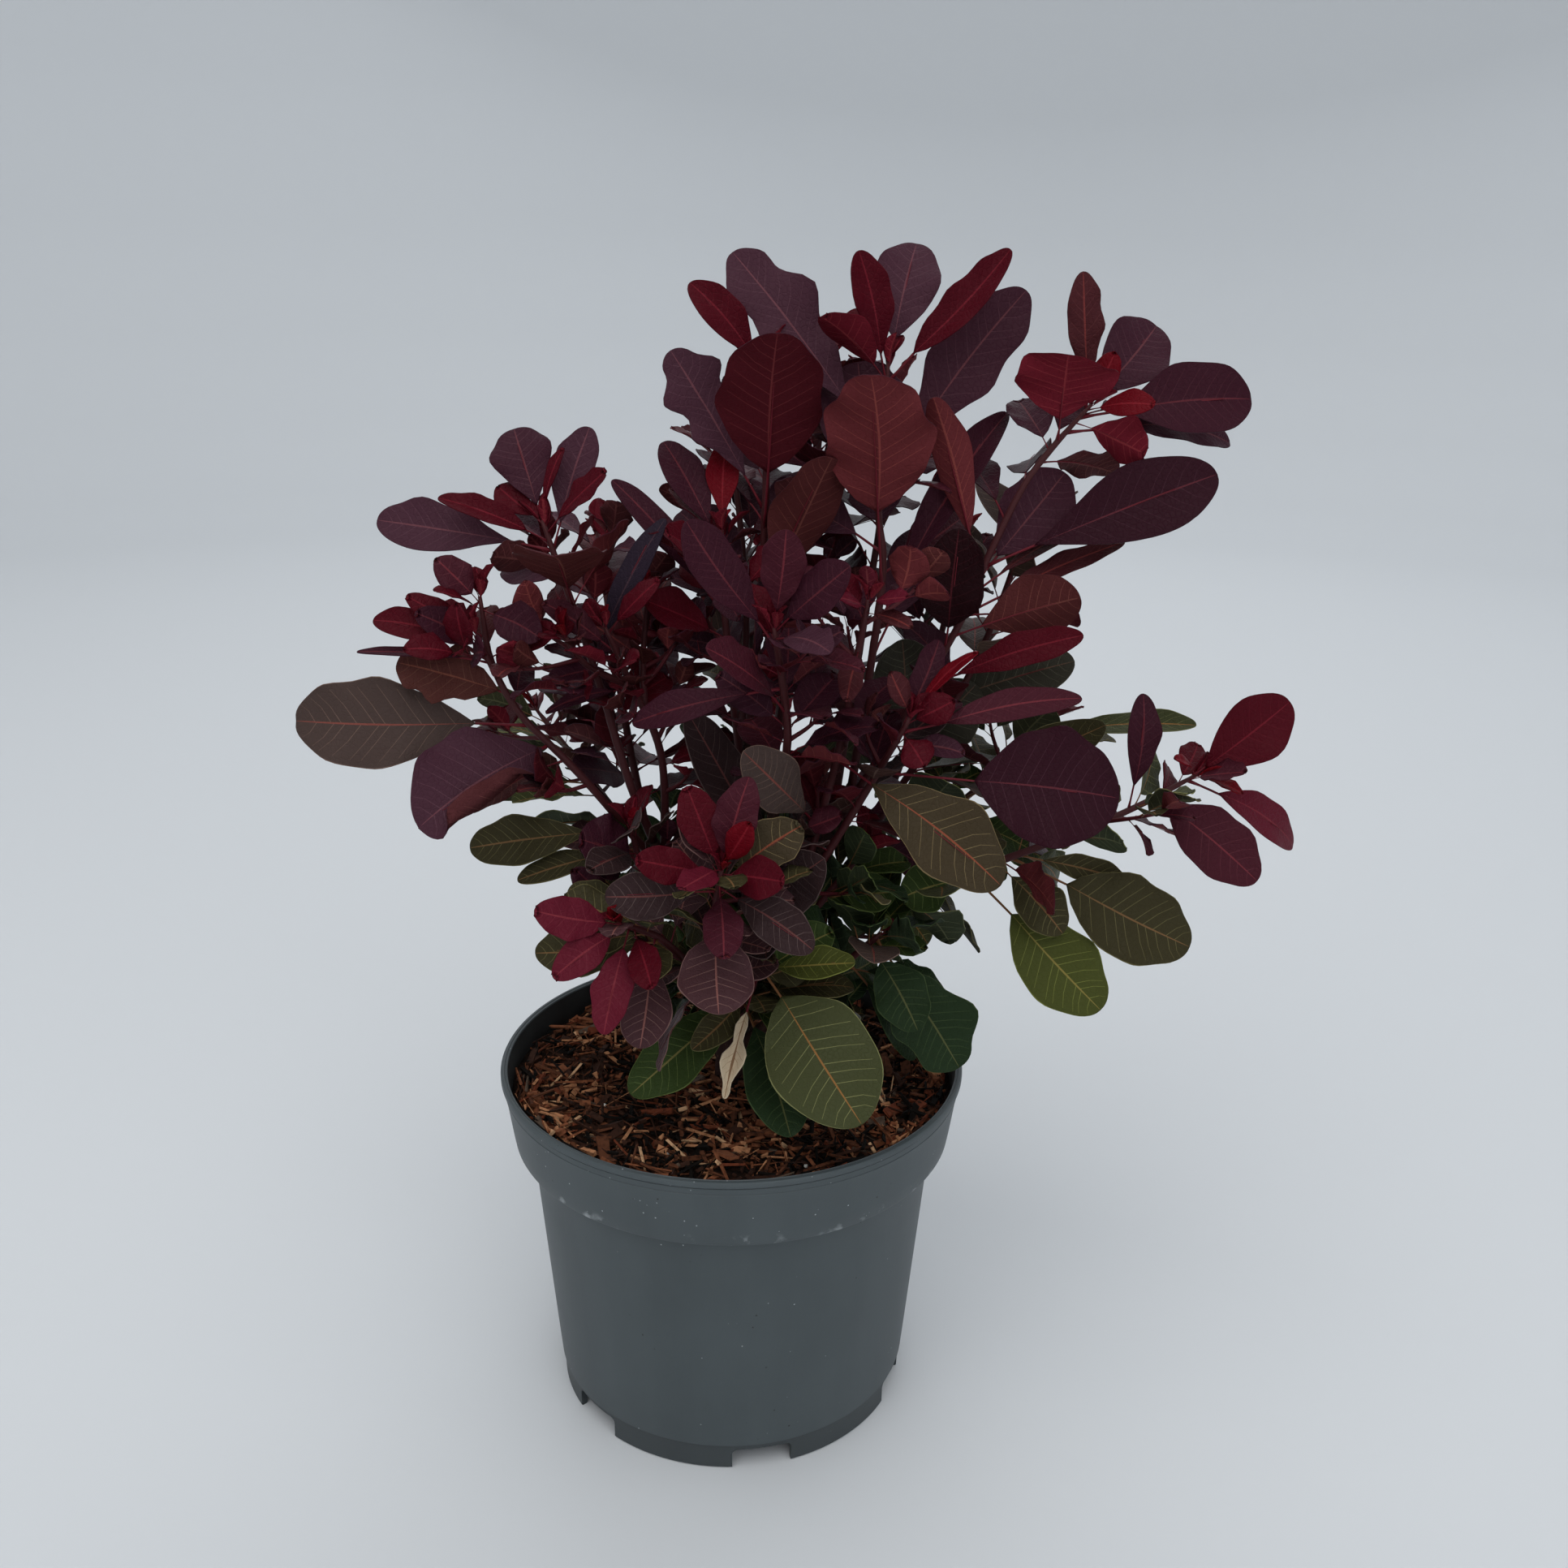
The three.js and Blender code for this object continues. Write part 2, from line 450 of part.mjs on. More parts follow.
// Leaves: the marked ones of every shoot first, then those that grow by rule.
// A leaf that would cut another shoot swings back or forward till it is clear, or is left out.
function growLeaf(entry, share, curve, tip, width, turn, twist, bounded) {
  const root = curve.getPoint(share);
  const heading = headingAt(curve, share);
  for (const swing of swings) {
    const end = tip.clone().setY(tip.y + swing);
    const frame = bladeFrame(root, end, heading, turn, twist);
    const shell = leafShell(frame, width, leaf.clearWidth, leaf.clearThick);
    const guard = obstacle(entry.node, shell, leaf.rootCorners);
    const fits = abovePot(guard) && (!bounded || inCrown(guard));
    if (fits && !placed.some((other) => meets(guard, other))) {
      placed.push(guard);
      entry.pieces.push(leafShell(frame, width));
      return;
    }
  }
}

for (const entry of Object.values(shoots)) {
  for (const [share, x, y, z, width, turn] of entry.marked) {
    growLeaf(entry, share, entry.curves[0], new THREE.Vector3(x, y, z), width, turn, 0, false);
  }
}
for (const entry of Object.values(shoots)) {
  const roll = dice(entry.seed);
  for (let k = 0; k < entry.leaves; k += 1) {
    const curve = entry.curves[k % entry.curves.length];
    const share = mix(entry.from, 1, (k + roll() * 0.6) / entry.leaves);
    const bearing = radians(mix(...entry.arc, (k * rule.spiral + roll() * 0.15) % 1));
    const open = radians(mix(...rule.open, share) + roll() * rule.openSpread);
    const reach = entry.size * mix(...rule.size, share) * (0.85 + 0.3 * roll());
    const width = reach * (rule.slimmest + rule.slimSpread * roll());
    const twist = radians(rule.twist * (roll() * 2 - 1));
    const heading = headingAt(curve, share);
    const outward = new THREE.Vector3(Math.cos(bearing), Math.sin(bearing), 0);
    outward.addScaledVector(heading, -outward.dot(heading)).normalize();
    const tip = curve.getPoint(share).addScaledVector(heading, reach * Math.cos(open));
    tip.addScaledVector(outward, reach * Math.sin(open));
    growLeaf(entry, share, curve, tip, width, 0, twist, true);
  }
}

// Pot: one turned shell with a lip, a stepped band, a foot ring with notches, and a middle pad
function turned(profile) {
  const outline = profile.map(([r, z]) => new THREE.Vector2(r, z));
  return new THREE.LatheGeometry(outline, pot.sides).rotateX(Math.PI / 2);
}

function potWall(offset) {
  const top = [pot.bodyTopRadius - offset, pot.bandBottom - pot.shoulder];
  return [[pot.bodyBottomRadius - offset, pot.footHeight], top];
}

function potSolid() {
  const lipBottom = pot.height - pot.lipHeight;
  const outside = [[pot.footRadius, 0], [pot.footRadius, pot.footHeight - 2], ...potWall(0),
    [pot.bandRadius, pot.bandBottom], [pot.rimRadius - pot.lipDepth, lipBottom], [pot.rimRadius, lipBottom],
    [pot.rimRadius, pot.height]];
  const inside = [[pot.rimRadius - pot.lipDepth - pot.wall, pot.height],
    [pot.bandRadius - pot.wall, pot.bandBottom + 1], ...potWall(pot.wall).reverse(),
    [pot.footRadius - pot.wall, pot.floorTop], [0, pot.floorTop]];
  const under = [[0, 0], [pot.padRadius, 0], [pot.padRadius, pot.floorBottom],
    [pot.footRadius - pot.footWall, pot.floorBottom], [pot.footRadius - pot.footWall, 0]];
  let shell = solidOf(turned([...under, ...outside, ...inside]));
  for (let k = 0; k < pot.notches; k += 1) {
    const notch = new THREE.BoxGeometry(pot.notchDepth, pot.notchWidth, pot.notchHeight * 2);
    notch.translate(pot.footRadius, 0, 0).rotateZ(radians(pot.notchTurn + (360 / pot.notches) * k));
    shell = shell.subtract(solidOf(notch));
  }
  return shell;
}

// Mulch: fills the pot up to a slightly mounded top that lies higher at the front and left
function mulchSolid() {
  const inset = pot.wall + 2 * gap;
  const top = mulch.level;
  const fill = (top - pot.bandBottom) / (pot.height - pot.bandBottom);
  const rimReach = mix(pot.bandRadius, pot.rimRadius, fill) - inset;
  const wall = [[pot.footRadius - inset, pot.floorTop + gap], ...potWall(inset),
    [pot.bandRadius - inset, pot.bandBottom + 1 + gap]];
  const rings = mulch.rings.map((share) => [rimReach * share, top]);
  const profile = [[0, pot.floorTop + gap], ...wall, [rimReach - 0.5, top - 3], ...rings, [0, top]];
  const geometry = turned(profile);
  geometry.deleteAttribute('normal');
  geometry.deleteAttribute('uv');
  const merged = mergeVertices(geometry, 1e-4);
  const roll = dice(mulch.seed);
  const place = merged.attributes.position;
  for (let i = 0; i < place.count; i += 1) {
    if (place.getZ(i) < top - 0.5) continue;
    const [x, y] = [place.getX(i), place.getY(i)];
    const slope = (-x * 0.4 - y) / rimReach;
    place.setZ(i, top + mulch.tilt * slope * 0.7 + mulch.mound * (roll() * 2 - 1));
  }
  return solidOf(merged).subtract(stumpGrown);
}

// The finished model
const model = new THREE.Group();
function addNode(name, solid, finish) {
  const mesh = new THREE.Mesh(geometryOf(solid), finish);
  mesh.name = name;
  model.add(mesh);
}

addNode('pot', potSolid(), finishes.pot);
addNode('mulch', mulchSolid(), finishes.mulch);
addNode('main_stem', stumpSolid, finishes.bark);
for (const entry of Object.values(boughs)) addNode(entry.node, entry.solid, finishes.bark);
for (const entry of Object.values(shoots)) {
  const mass = wasm.Manifold.union(entry.pieces.map((piece) => solidOf(piece)));
  addNode(entry.node, largest(mass.subtract(standing)), finishes.foliage);
}

export default model;
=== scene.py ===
import math
from math import cos, pi, sin

import bmesh
import bpy
from mathutils import Matrix, Vector, noise
from mathutils.bvhtree import BVHTree


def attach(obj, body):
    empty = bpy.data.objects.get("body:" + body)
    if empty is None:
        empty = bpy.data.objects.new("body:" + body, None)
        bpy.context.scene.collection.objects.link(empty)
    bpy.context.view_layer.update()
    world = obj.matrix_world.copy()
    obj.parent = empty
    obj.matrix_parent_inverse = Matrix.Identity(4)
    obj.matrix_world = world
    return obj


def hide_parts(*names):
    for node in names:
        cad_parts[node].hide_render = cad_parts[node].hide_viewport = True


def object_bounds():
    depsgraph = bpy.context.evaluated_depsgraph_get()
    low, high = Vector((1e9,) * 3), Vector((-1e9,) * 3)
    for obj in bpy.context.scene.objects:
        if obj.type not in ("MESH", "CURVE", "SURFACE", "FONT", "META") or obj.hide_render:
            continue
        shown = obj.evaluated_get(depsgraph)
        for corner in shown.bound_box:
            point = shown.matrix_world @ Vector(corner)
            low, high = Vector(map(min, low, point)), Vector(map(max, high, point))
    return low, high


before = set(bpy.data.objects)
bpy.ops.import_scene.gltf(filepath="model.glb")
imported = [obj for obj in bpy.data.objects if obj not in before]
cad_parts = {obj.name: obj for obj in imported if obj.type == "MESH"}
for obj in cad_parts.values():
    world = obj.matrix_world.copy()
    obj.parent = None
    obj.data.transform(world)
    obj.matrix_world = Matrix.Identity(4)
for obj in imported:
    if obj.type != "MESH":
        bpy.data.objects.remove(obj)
cadBox = [list(map(float, corner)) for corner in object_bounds()]
mm = 0.001  # the tables are in millimetres, the scene is in metres
up = Vector((0, 0, 1))


# small helpers

def mix(low, high, share):
    return low + (high - low) * share


def clamp(value, low, high):
    return min(max(value, low), high)


def smooth(low, high, value):
    share = clamp((value - low) / (high - low), 0, 1)
    return share * share * (3 - 2 * share)


def dice(seed):
    state = seed * 7919

    def roll():
        nonlocal state
        state = (state * 1664525 + 1013904223) % 4294967296
        return state / 4294967296
    return roll


def oneOf(things, roll):
    return things[int(roll() * len(things))]


def square(way, heading):  # what of a direction stands square to the heading
    return (way - heading * way.dot(heading)).normalized()


def outward(bearing, rise, heading):
    return square(Vector((cos(bearing), sin(bearing), rise)), heading)


def facesOf(verts):
    return {face for vert in verts for face in vert.link_faces}


def linear(red, green, blue):
    return tuple(((c / 255 + 0.055) / 1.055) ** 2.4 for c in (red, green, blue)) + (1,)


# materials: a wire is a socket that can be reckoned with

class Wire:
    def __init__(self, paint, socket):
        self.paint = paint
        self.socket = socket

    def reckon(self, operation, first, second):
        return self.paint.node("ShaderNodeMath", {"operation": operation}, {0: first, 1: second})

    def __add__(self, other):
        return self.reckon("ADD", self, other)

    def __mul__(self, other):
        return self.reckon("MULTIPLY", self, other)

    def __rsub__(self, other):
        return self.reckon("SUBTRACT", other, self)

    __radd__ = __add__
    __rmul__ = __mul__


class Paint:
    def __init__(self, name):
        self.material = bpy.data.materials.new(name)
        self.material.use_nodes = True
        self.tree = self.material.node_tree
        self.place = self.node("ShaderNodeTexCoord", out=3)

    def node(self, kind, settings=None, sockets=None, out=0):
        made = self.tree.nodes.new(kind)
        for key, value in (settings or {}).items():
            if key == "stops":  # of a ramp from black to white
                for stop, place in zip(made.color_ramp.elements, value):
                    stop.position = place
            else:
                setattr(made, key, value)
        for key, value in (sockets or {}).items():
            self.plug(made.inputs[key], value)
        return Wire(self, made.outputs[out])

    def plug(self, socket, value):
        if isinstance(value, Wire):
            self.tree.links.new(value.socket, socket)
        else:
            socket.default_value = value

    def mottle(self, scale, detail=3, stretch=None):
        place = self.place
        if stretch:
            place = self.node("ShaderNodeMapping", {}, {"Vector": place, "Scale": stretch})
        return self.node("ShaderNodeTexNoise", {}, {"Vector": place, "Scale": scale, "Detail": detail})

    def cells(self, scale, **settings):
        return self.node("ShaderNodeTexVoronoi", settings, {"Vector": self.place, "Scale": scale})

    def ramp(self, value, low, high):
        return self.node("ShaderNodeValToRGB", {"stops": (low, high)}, {0: value})

    def fade(self, value, start, end, most=1.0):  # none at the start, most at the end
        return self.node("ShaderNodeMapRange", {"clamp": True},
                         {0: value, 1: start * mm, 2: end * mm, 3: 0.0, 4: most})

    def blend(self, share, first, second):
        return self.node("ShaderNodeMix", {"data_type": "RGBA"}, {0: share, 6: first, 7: second}, out=2)

    def bump(self, height, distance, strength):
        return self.node("ShaderNodeBump", {}, {"Height": height, "Distance": distance, "Strength": strength})

    def finish(self, **sockets):
        for key, value in sockets.items():
            self.plug(self.tree.nodes["Principled BSDF"].inputs[key.replace("_", " ")], value)
        return self.material


# routes and tubes

class Route:
    # a smooth curve through its points, the same as the solids follow
    steps = 60

    def __init__(self, points):
        self.points = [Vector(point) for point in points]
        self.fine = [self.at(k / self.steps) for k in range(self.steps + 1)]
        self.run = [0.0]
        for before, after in zip(self.fine, self.fine[1:]):
            self.run.append(self.run[-1] + (after - before).length)

    def at(self, share):
        last = len(self.points) - 1
        place = clamp(share, 0, 1) * last
        i = min(int(place), last - 1)
        t = place - i
        start, end = self.points[i], self.points[i + 1]
        before = self.points[i - 1] if i else start * 2 - end
        after = self.points[i + 2] if i + 2 <= last else end * 2 - start
        pull, push = (end - before) / 2, (after - start) / 2
        return (start * (2 * t ** 3 - 3 * t ** 2 + 1) + pull * (t ** 3 - 2 * t ** 2 + t)
                + end * (3 * t ** 2 - 2 * t ** 3) + push * (t ** 3 - t ** 2))

    def even(self, share):  # by length run, not by points passed
        goal = share * self.run[-1]
        k = next((k for k in range(1, self.steps + 1) if self.run[k] >= goal), self.steps)
        part = (goal - self.run[k - 1]) / max(self.run[k] - self.run[k - 1], 1e-9)
        return self.fine[k - 1].lerp(self.fine[k], part)

    def heading(self, share):
        return (self.at(min(share + 0.01, 1)) - self.at(max(share - 0.01, 0))).normalized()


def ringFrames(route, rings):
    points = [route.even(k / rings) for k in range(rings + 1)]
    frames = []
    side = None
    for k, point in enumerate(points):
        ahead = (points[min(k + 1, rings)] - points[max(k - 1, 0)]).normalized()
        side = square(side or ahead.orthogonal().normalized(), ahead)
        frames.append((point, side, ahead.cross(side)))
    return frames


def wrapTube(bm, route, radius, sides, rings, slot=0, relief=None):
    # a grid rolled up along the route, with both ends drawn in to a pole
    frames = ringFrames(route, rings)
    grid = bmesh.ops.create_grid(bm, x_segments=sides, y_segments=rings + 2, size=0.5)["verts"]
    for vert in grid:
        angle = (vert.co.x + 0.5) * 2 * pi
        row = round((vert.co.y + 0.5) * (rings + 2))
        ring = clamp(row - 1, 0, rings)
        point, side, over = frames[ring]
        size = 0 if row in (0, rings + 2) else radius(ring / rings)
        spoke = side * cos(angle) + over * sin(angle)
        if relief and size:
            size += relief(point + spoke * size, ring / rings)
        vert.co = (point + spoke * size) * mm
    for face in facesOf(grid):
        face.material_index = slot
        face.smooth = True
    bmesh.ops.remove_doubles(bm, verts=grid, dist=2e-6)


def turned(profile, steps):
    # spun round the upright axis, with its points on the axis merged and its faces all one way
    bm = bmesh.new()
    verts = [bm.verts.new((r * mm, 0, z * mm)) for r, z in profile]
    edges = [bm.edges.new(pair) for pair in zip(verts, verts[1:])]
    bmesh.ops.spin(bm, geom=verts + edges, cent=(0, 0, 0), axis=up, angle=2 * pi, steps=steps, use_merge=True)
    bmesh.ops.remove_doubles(bm, verts=bm.verts, dist=1e-6)
    bmesh.ops.recalc_face_normals(bm, faces=bm.faces)
    for face in bm.faces:
        face.smooth = True
    return bm


def gather(whole, part):
    # every operator slows down as its mesh grows, so small ones are made and put together
    mesh = bpy.data.meshes.new("part")
    part.to_mesh(mesh)
    part.free()
    whole.from_mesh(mesh)
    bpy.data.meshes.remove(mesh)
    return bmesh.new()


def linked(name, data):
    made = bpy.data.objects.new(name, data)
    bpy.context.collection.objects.link(made)
    return made


def meshFrom(bm, name, materials=()):
    mesh = bpy.data.meshes.new(name)
    bm.to_mesh(mesh)
    bm.free()
    for material in materials:
        mesh.materials.append(material)
    return linked(name, mesh)


def pieceFrom(bm, name, materials, replaced=()):
    piece = meshFrom(bm, name, materials)
    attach(piece, "root")
    if replaced:
        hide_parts(*replaced)
    return piece


# camera, light and floor

view = {
    "place": (0.020, -0.5699, 0.4613), "tilt": 18.95, "roll": 0.72, "near": 0.01,
    "focal": 1900, "frame": 1932, "sensor": 36,
}
studio = {
    "sky": (0.84, 0.88, 0.92, 1), "skyStrength": 0.45, "aim": Vector((0, 0, 0.25)),
    "lamps": {  # place, size, power and tint
        "key": ((-0.25, -1.1, 2.3), 2.6, 33, (1, 0.99, 0.97)),
        "fill": ((1.0, -1.9, 1.2), 1.8, 8, (0.93, 0.96, 1)),
        "back": ((0.3, 1.6, 2.0), 2.6, 19, (0.96, 0.98, 1)),
    },
    "floor": linear(214, 217, 220), "reach": 2200, "bend": 800, "wallTop": 2400, "steps": 96,
}


def setView():
    camera = bpy.data.cameras.new("camera")
    camera.sensor_width = view["sensor"]
    camera.lens = view["sensor"] * view["focal"] / view["frame"]
    camera.clip_start = view["near"]
    tilt = Matrix.Rotation(math.radians(90 - view["tilt"]), 4, "X")
    turn = tilt @ Matrix.Rotation(math.radians(view["roll"]), 4, "Z")
    holder = linked("camera", camera)
    holder.matrix_world = Matrix.Translation(view["place"]) @ turn
    bpy.context.scene.camera = holder
    bpy.context.scene.view_settings.view_transform = "Standard"


def setLights():
    world = bpy.data.worlds.new("sky")
    world.use_nodes = True
    sky = world.node_tree.nodes["Background"]
    sky.inputs["Color"].default_value = studio["sky"]
    sky.inputs["Strength"].default_value = studio["skyStrength"]
    bpy.context.scene.world = world
    for name, (place, size, power, tint) in studio["lamps"].items():
        light = bpy.data.lights.new(name, "AREA")
        light.size = size
        light.energy = power
        light.color = tint
        holder = linked(name, light)
        holder.location = place
        holder.rotation_euler = (studio["aim"] - holder.location).to_track_quat("-Z", "Y").to_euler()


def makeFloor():
    # a floor that rises all round into a low even wall, so that every side has the same pale ground
    reach, bend = studio["reach"], studio["bend"]
    curve = [(reach + bend * sin(a), bend - bend * cos(a)) for a in (0.3, 0.6, 0.9, 1.2, pi / 2)]
    profile = [(0, 0), (reach, 0), *curve, (reach + bend, studio["wallTop"])]
    paint = Paint("paleFloor").finish(Base_Color=studio["floor"], Roughness=0.85)
    floor = meshFrom(turned(profile, studio["steps"]), "floor", [paint])


setView()
setLights()
makeFloor()
print("camera, lights and floor set")


# pot: a turned wall with a grooved lip, a stepped band and a notched foot

pot = {
    "steps": 144, "wall": 1.8, "height": 147, "rimRadius": 95, "lipBottom": 144, "lipDepth": 1,
    "bandBottom": 117, "bandRadius": 90.3, "bodyTop": 114, "bodyTopRadius": 83.4, "bodyBottomRadius": 74.6,
    "footHeight": 12, "footRadius": 73.3, "footWall": 2.8, "floorBottom": 5.5, "floorTop": 8, "padRadius": 16,
    "notches": 6, "notchTurn": -78.5, "notchDepth": 18, "notchWidth": 24, "notchHeight": 9,
    "notchCorner": 2.2, "crease": 32, "plastic": linear(60, 68, 71), "worn": linear(70, 78, 81),
    # soil is the soil crumbs' colour, and also the painted shade on the foot and inside the wall
    "scuff": linear(170, 176, 178), "soil": linear(19, 17, 16), "stainAndShade": linear(36, 37, 37),
}


def potProfile():
    rim, band, wall, foot = (pot[key] for key in ("rimRadius", "bandRadius", "wall", "footRadius"))
    high, low, pad = (pot[key] for key in ("bodyTopRadius", "bodyBottomRadius", "padRadius"))
    footTop, bodyTop, bandBottom = (pot[key] for key in ("footHeight", "bodyTop", "bandBottom"))
    lip, top, floor = (pot[key] for key in ("lipBottom", "height", "floorBottom"))
    inner, groove = foot - pot["footWall"], rim - pot["lipDepth"]
    under = [(0, 0), (pad - 0.5, 0), (pad, 0.5), (pad, floor), (inner, floor), (inner, 0.4), (inner + 0.4, 0)]
    ring = [(foot - 0.6, 0), (foot, 0.6), (foot, footTop - 0.8), (foot + 0.1, footTop - 0.5),
            (low - 0.5, footTop - 0.4), (low - 0.1, footTop - 0.1), (low, footTop + 0.4)]
    body = [(mix(low, high, k / 6), mix(footTop, bodyTop, k / 6)) for k in range(1, 6)]
    shoulder = [(high - 0.1, bodyTop - 1), (high + 0.5, bodyTop + 0.6), (high + 2.2, bodyTop + 1.8),
                (band - 1.6, bandBottom - 0.6), (band - 0.5, bandBottom), (band, bandBottom + 0.9)]
    collar = [(mix(band, groove, k / 4), mix(bandBottom, lip, k / 4) - 0.1 * k) for k in range(1, 4)]
    edge = [(groove - 0.1, lip - 3.1), (groove - 0.3, lip - 2.9), (groove - 0.3, lip - 2.7),
            (groove, lip - 2.5), (groove + 0.1, lip - 0.4), (groove - 0.1, lip - 0.2),
            (groove - 0.1, lip + 0.1), (rim - 0.3, lip + 0.4), (rim, lip + 0.8), (rim, top - 0.9),
            (rim - 0.35, top - 0.2), (rim - 0.9, top), (rim - 1.5, top - 0.05), (rim - 1.7, top - 0.35),
            (rim - 1.95, top - 0.35), (rim - 2.2, top - 0.1), (rim - 2.7, top - 0.3), (rim - 2.9, top - 0.9)]
    inside = [(rim - 3.0, lip), (band - wall, bandBottom + 1), (high - wall, bodyTop), (low - wall, footTop),
              (foot - wall, pot["floorTop"]), (0, pot["floorTop"])]
    return under + ring + body + shoulder + collar + edge + inside


def potPlastic():
    paint = Paint("greyPlastic")
    height = paint.node("ShaderNodeSeparateXYZ", {}, {0: paint.place}, out=2)
    cloud = paint.mottle(26, 5)
    wear = paint.ramp(cloud * 0.6 + paint.mottle(60, 4, (1, 1, 0.12)) * 0.4, 0.35, 0.7)
    base = paint.blend(wear, pot["plastic"], pot["worn"])
    # pale rubbing along the lower edge of the band, then pale specks, most of them on the band
    low, foot = pot["bandBottom"], pot["footHeight"]
    onEdge = paint.fade(height, low + 5.5, low + 1.5) * paint.fade(height, low - 2, low)
    rubbed = paint.ramp(paint.mottle(150, 6), 0.56, 0.66) * onEdge * paint.ramp(cloud, 0.46, 0.6)
    base = paint.blend(rubbed * 0.75, base, pot["scuff"])
    patches = paint.ramp(paint.mottle(110, 2) + paint.fade(height, low - 17, low + 8, 0.09), 0.58, 0.63)
    base = paint.blend((1 - paint.ramp(paint.cells(250), 0.05, 0.09)) * patches * 0.9, base, pot["scuff"])
    # crumbs of soil, and painted shade on the foot below the step, in the soil colour
    patches = paint.ramp(paint.mottle(38, 2), 0.58, 0.63)
    base = paint.blend((1 - paint.ramp(paint.cells(200), 0.06, 0.1)) * patches, base, pot["soil"])
    # painted shade: the recessed foot is blended up to 35 percent of the way to the soil colour
    base = paint.blend(paint.fade(height, foot - 0.2, foot - 0.8, 0.35), base, pot["soil"])
    grain = paint.mottle(1400, 2) * 0.5 + paint.mottle(320, 4, (1, 1, 0.5)) * 0.5
    return paint.finish(Base_Color=base, Roughness=0.42 + cloud * 0.2, Normal=paint.bump(grain, 0.0002, 0.35))


def stainedShadedPlastic():
    # the inside of the wall: soil stain and painted shade from the rim together, in one dark plastic
    paint = Paint("stainedShadedPlastic")
    cloud = paint.mottle(70, 5)
    base = paint.blend(paint.ramp(cloud, 0.4, 0.7), pot["soil"], pot["stainAndShade"])
    return paint.finish(Base_Color=base, Roughness=0.7 + cloud * 0.2, Normal=paint.bump(cloud, 0.0006, 0.4))


def notchCutters():
    bm = bmesh.new()
    for k in range(pot["notches"]):
        turn = Matrix.Rotation(math.radians(pot["notchTurn"] + 360 / pot["notches"] * k), 4, "Z")
        size = [pot["notchDepth"] * mm, pot["notchWidth"] * mm, 2 * pot["notchHeight"] * mm, 1]
        place = turn @ Matrix.Translation((pot["footRadius"] * mm, 0, 0)) @ Matrix.Diagonal(size)
        box = bmesh.ops.create_cube(bm, size=1, matrix=place)["verts"]
        ahead = turn @ Vector((1, 0, 0))
        sides = [edge for edge in {edge for vert in box for edge in vert.link_edges}
                 if abs((edge.verts[0].co - edge.verts[1].co).normalized().dot(ahead)) > 0.9]
        bmesh.ops.bevel(bm, geom=sides, offset=pot["notchCorner"] * mm, affect="EDGES", segments=4,
                        profile=0.5, material=-1)
    return meshFrom(bm, "notches")


def makePot():
    bm = turned(potProfile(), pot["steps"])
    for face in bm.faces:
        middle = face.calc_center_median()
        inner = middle.x * face.normal.x + middle.y * face.normal.y < 0
        # the inside of the wall above the floor is painted dark, for soil stain and for the shade under the
        # rim
        face.material_index = int(inner and pot["floorTop"] < middle.z / mm < pot["lipBottom"] + 1.6)
    piece = pieceFrom(bm, "pot_shell", [potPlastic(), stainedShadedPlastic()], ["pot"])
    cutter = notchCutters()
    cut = piece.modifiers.new("notches", "BOOLEAN")
    cut.object = cutter
    cut.operation = "DIFFERENCE"
    bpy.context.view_layer.update()
    solid = bpy.data.meshes.new_from_object(piece.evaluated_get(bpy.context.evaluated_depsgraph_get()))
    piece.modifiers.clear()
    piece.data = solid
    bpy.data.objects.remove(cutter)
    # crisp creases where the surface turns sharply, smooth elsewhere
    bm = bmesh.new()
    bm.from_mesh(solid)
    for edge in bm.edges:
        edge.smooth = len(edge.link_faces) != 2 or edge.calc_face_angle(0) < math.radians(pot["crease"])
    bm.to_mesh(solid)
    bm.free()


makePot()
print("pot turned")


# mulch: a rough bed with shredded bark strewn over it

mulch = {
    "level": 136, "tilt": 3, "clear": 0.8, "stemClear": 8, "rings": 26, "steps": 96,
    "chips": 3600, "heap": 4.2, "seed": 41,
    "kinds": {  # length, width and thickness, least and most, then its share of the chips
        "shred": ((6, 20), (0.8, 2.2), (0.5, 1.3), 41),
        "chunk": ((6, 15), (2.6, 5.2), (1.0, 2.6), 9),
        "crumb": ((1.6, 4.5), (1.2, 3.0), (0.8, 1.8), 33),
        "fibre": ((8, 24), (0.3, 0.6), (0.3, 0.5), 20),
    },
    "browns": {
        "russet": linear(132, 80, 54), "cocoa": linear(94, 56, 38), "tan": linear(188, 132, 94),
        "umber": linear(58, 36, 27), "black": linear(20, 15, 12), "red": linear(112, 57, 37),
        "straw": linear(212, 168, 128), "ash": linear(92, 76, 64),
    },
    # of a hundred chips, how many have each brown on the open bed, and in the darker patches and the painted
    # shade along the wall
    "dry": [23, 19, 13, 15, 13, 9, 5, 3], "darkPatchesAndWallShade": [10, 20, 3, 30, 28, 6, 1, 2], "darkPatchScale": 0.032,
    "soil": (linear(20, 14, 11), linear(50, 31, 22)), "perlite": linear(226, 224, 216), "perliteRadius": 0.9,
    "perliteSpots": ((-22, -62), (30, -70), (-50, -30), (58, -12), (-10, 60)),
}


def bedRadius(height):
    band = (height - pot["bandBottom"]) / (pot["height"] - pot["bandBottom"])
    return mix(pot["bandRadius"], pot["rimRadius"], band) - pot["wall"] - mulch["clear"]


bedReach = bedRadius(mulch["level"])
chipReach = bedReach - 1.2


def lumps(x, y, layer, scale):
    return noise.noise(Vector((x, y, layer)) * scale)


def bedHeight(x, y):
    slope = (-x * 0.4 - y) / bedReach
    rough = lumps(x, y, 3, 0.06) * 1.6 + lumps(x, y, 9, 0.22) * 0.8
    return mulch["level"] + mulch["tilt"] * slope * 0.7 + rough - 0.6


def soilPaint():
    paint = Paint("compost")
    crumbs = paint.mottle(260, 6)
    dark = paint.blend(paint.ramp(crumbs, 0.35, 0.7), *mulch["soil"])
    return paint.finish(Base_Color=dark, Roughness=0.95, Normal=paint.bump(crumbs, 0.002, 1),
                        Specular_IOR_Level=0.1)


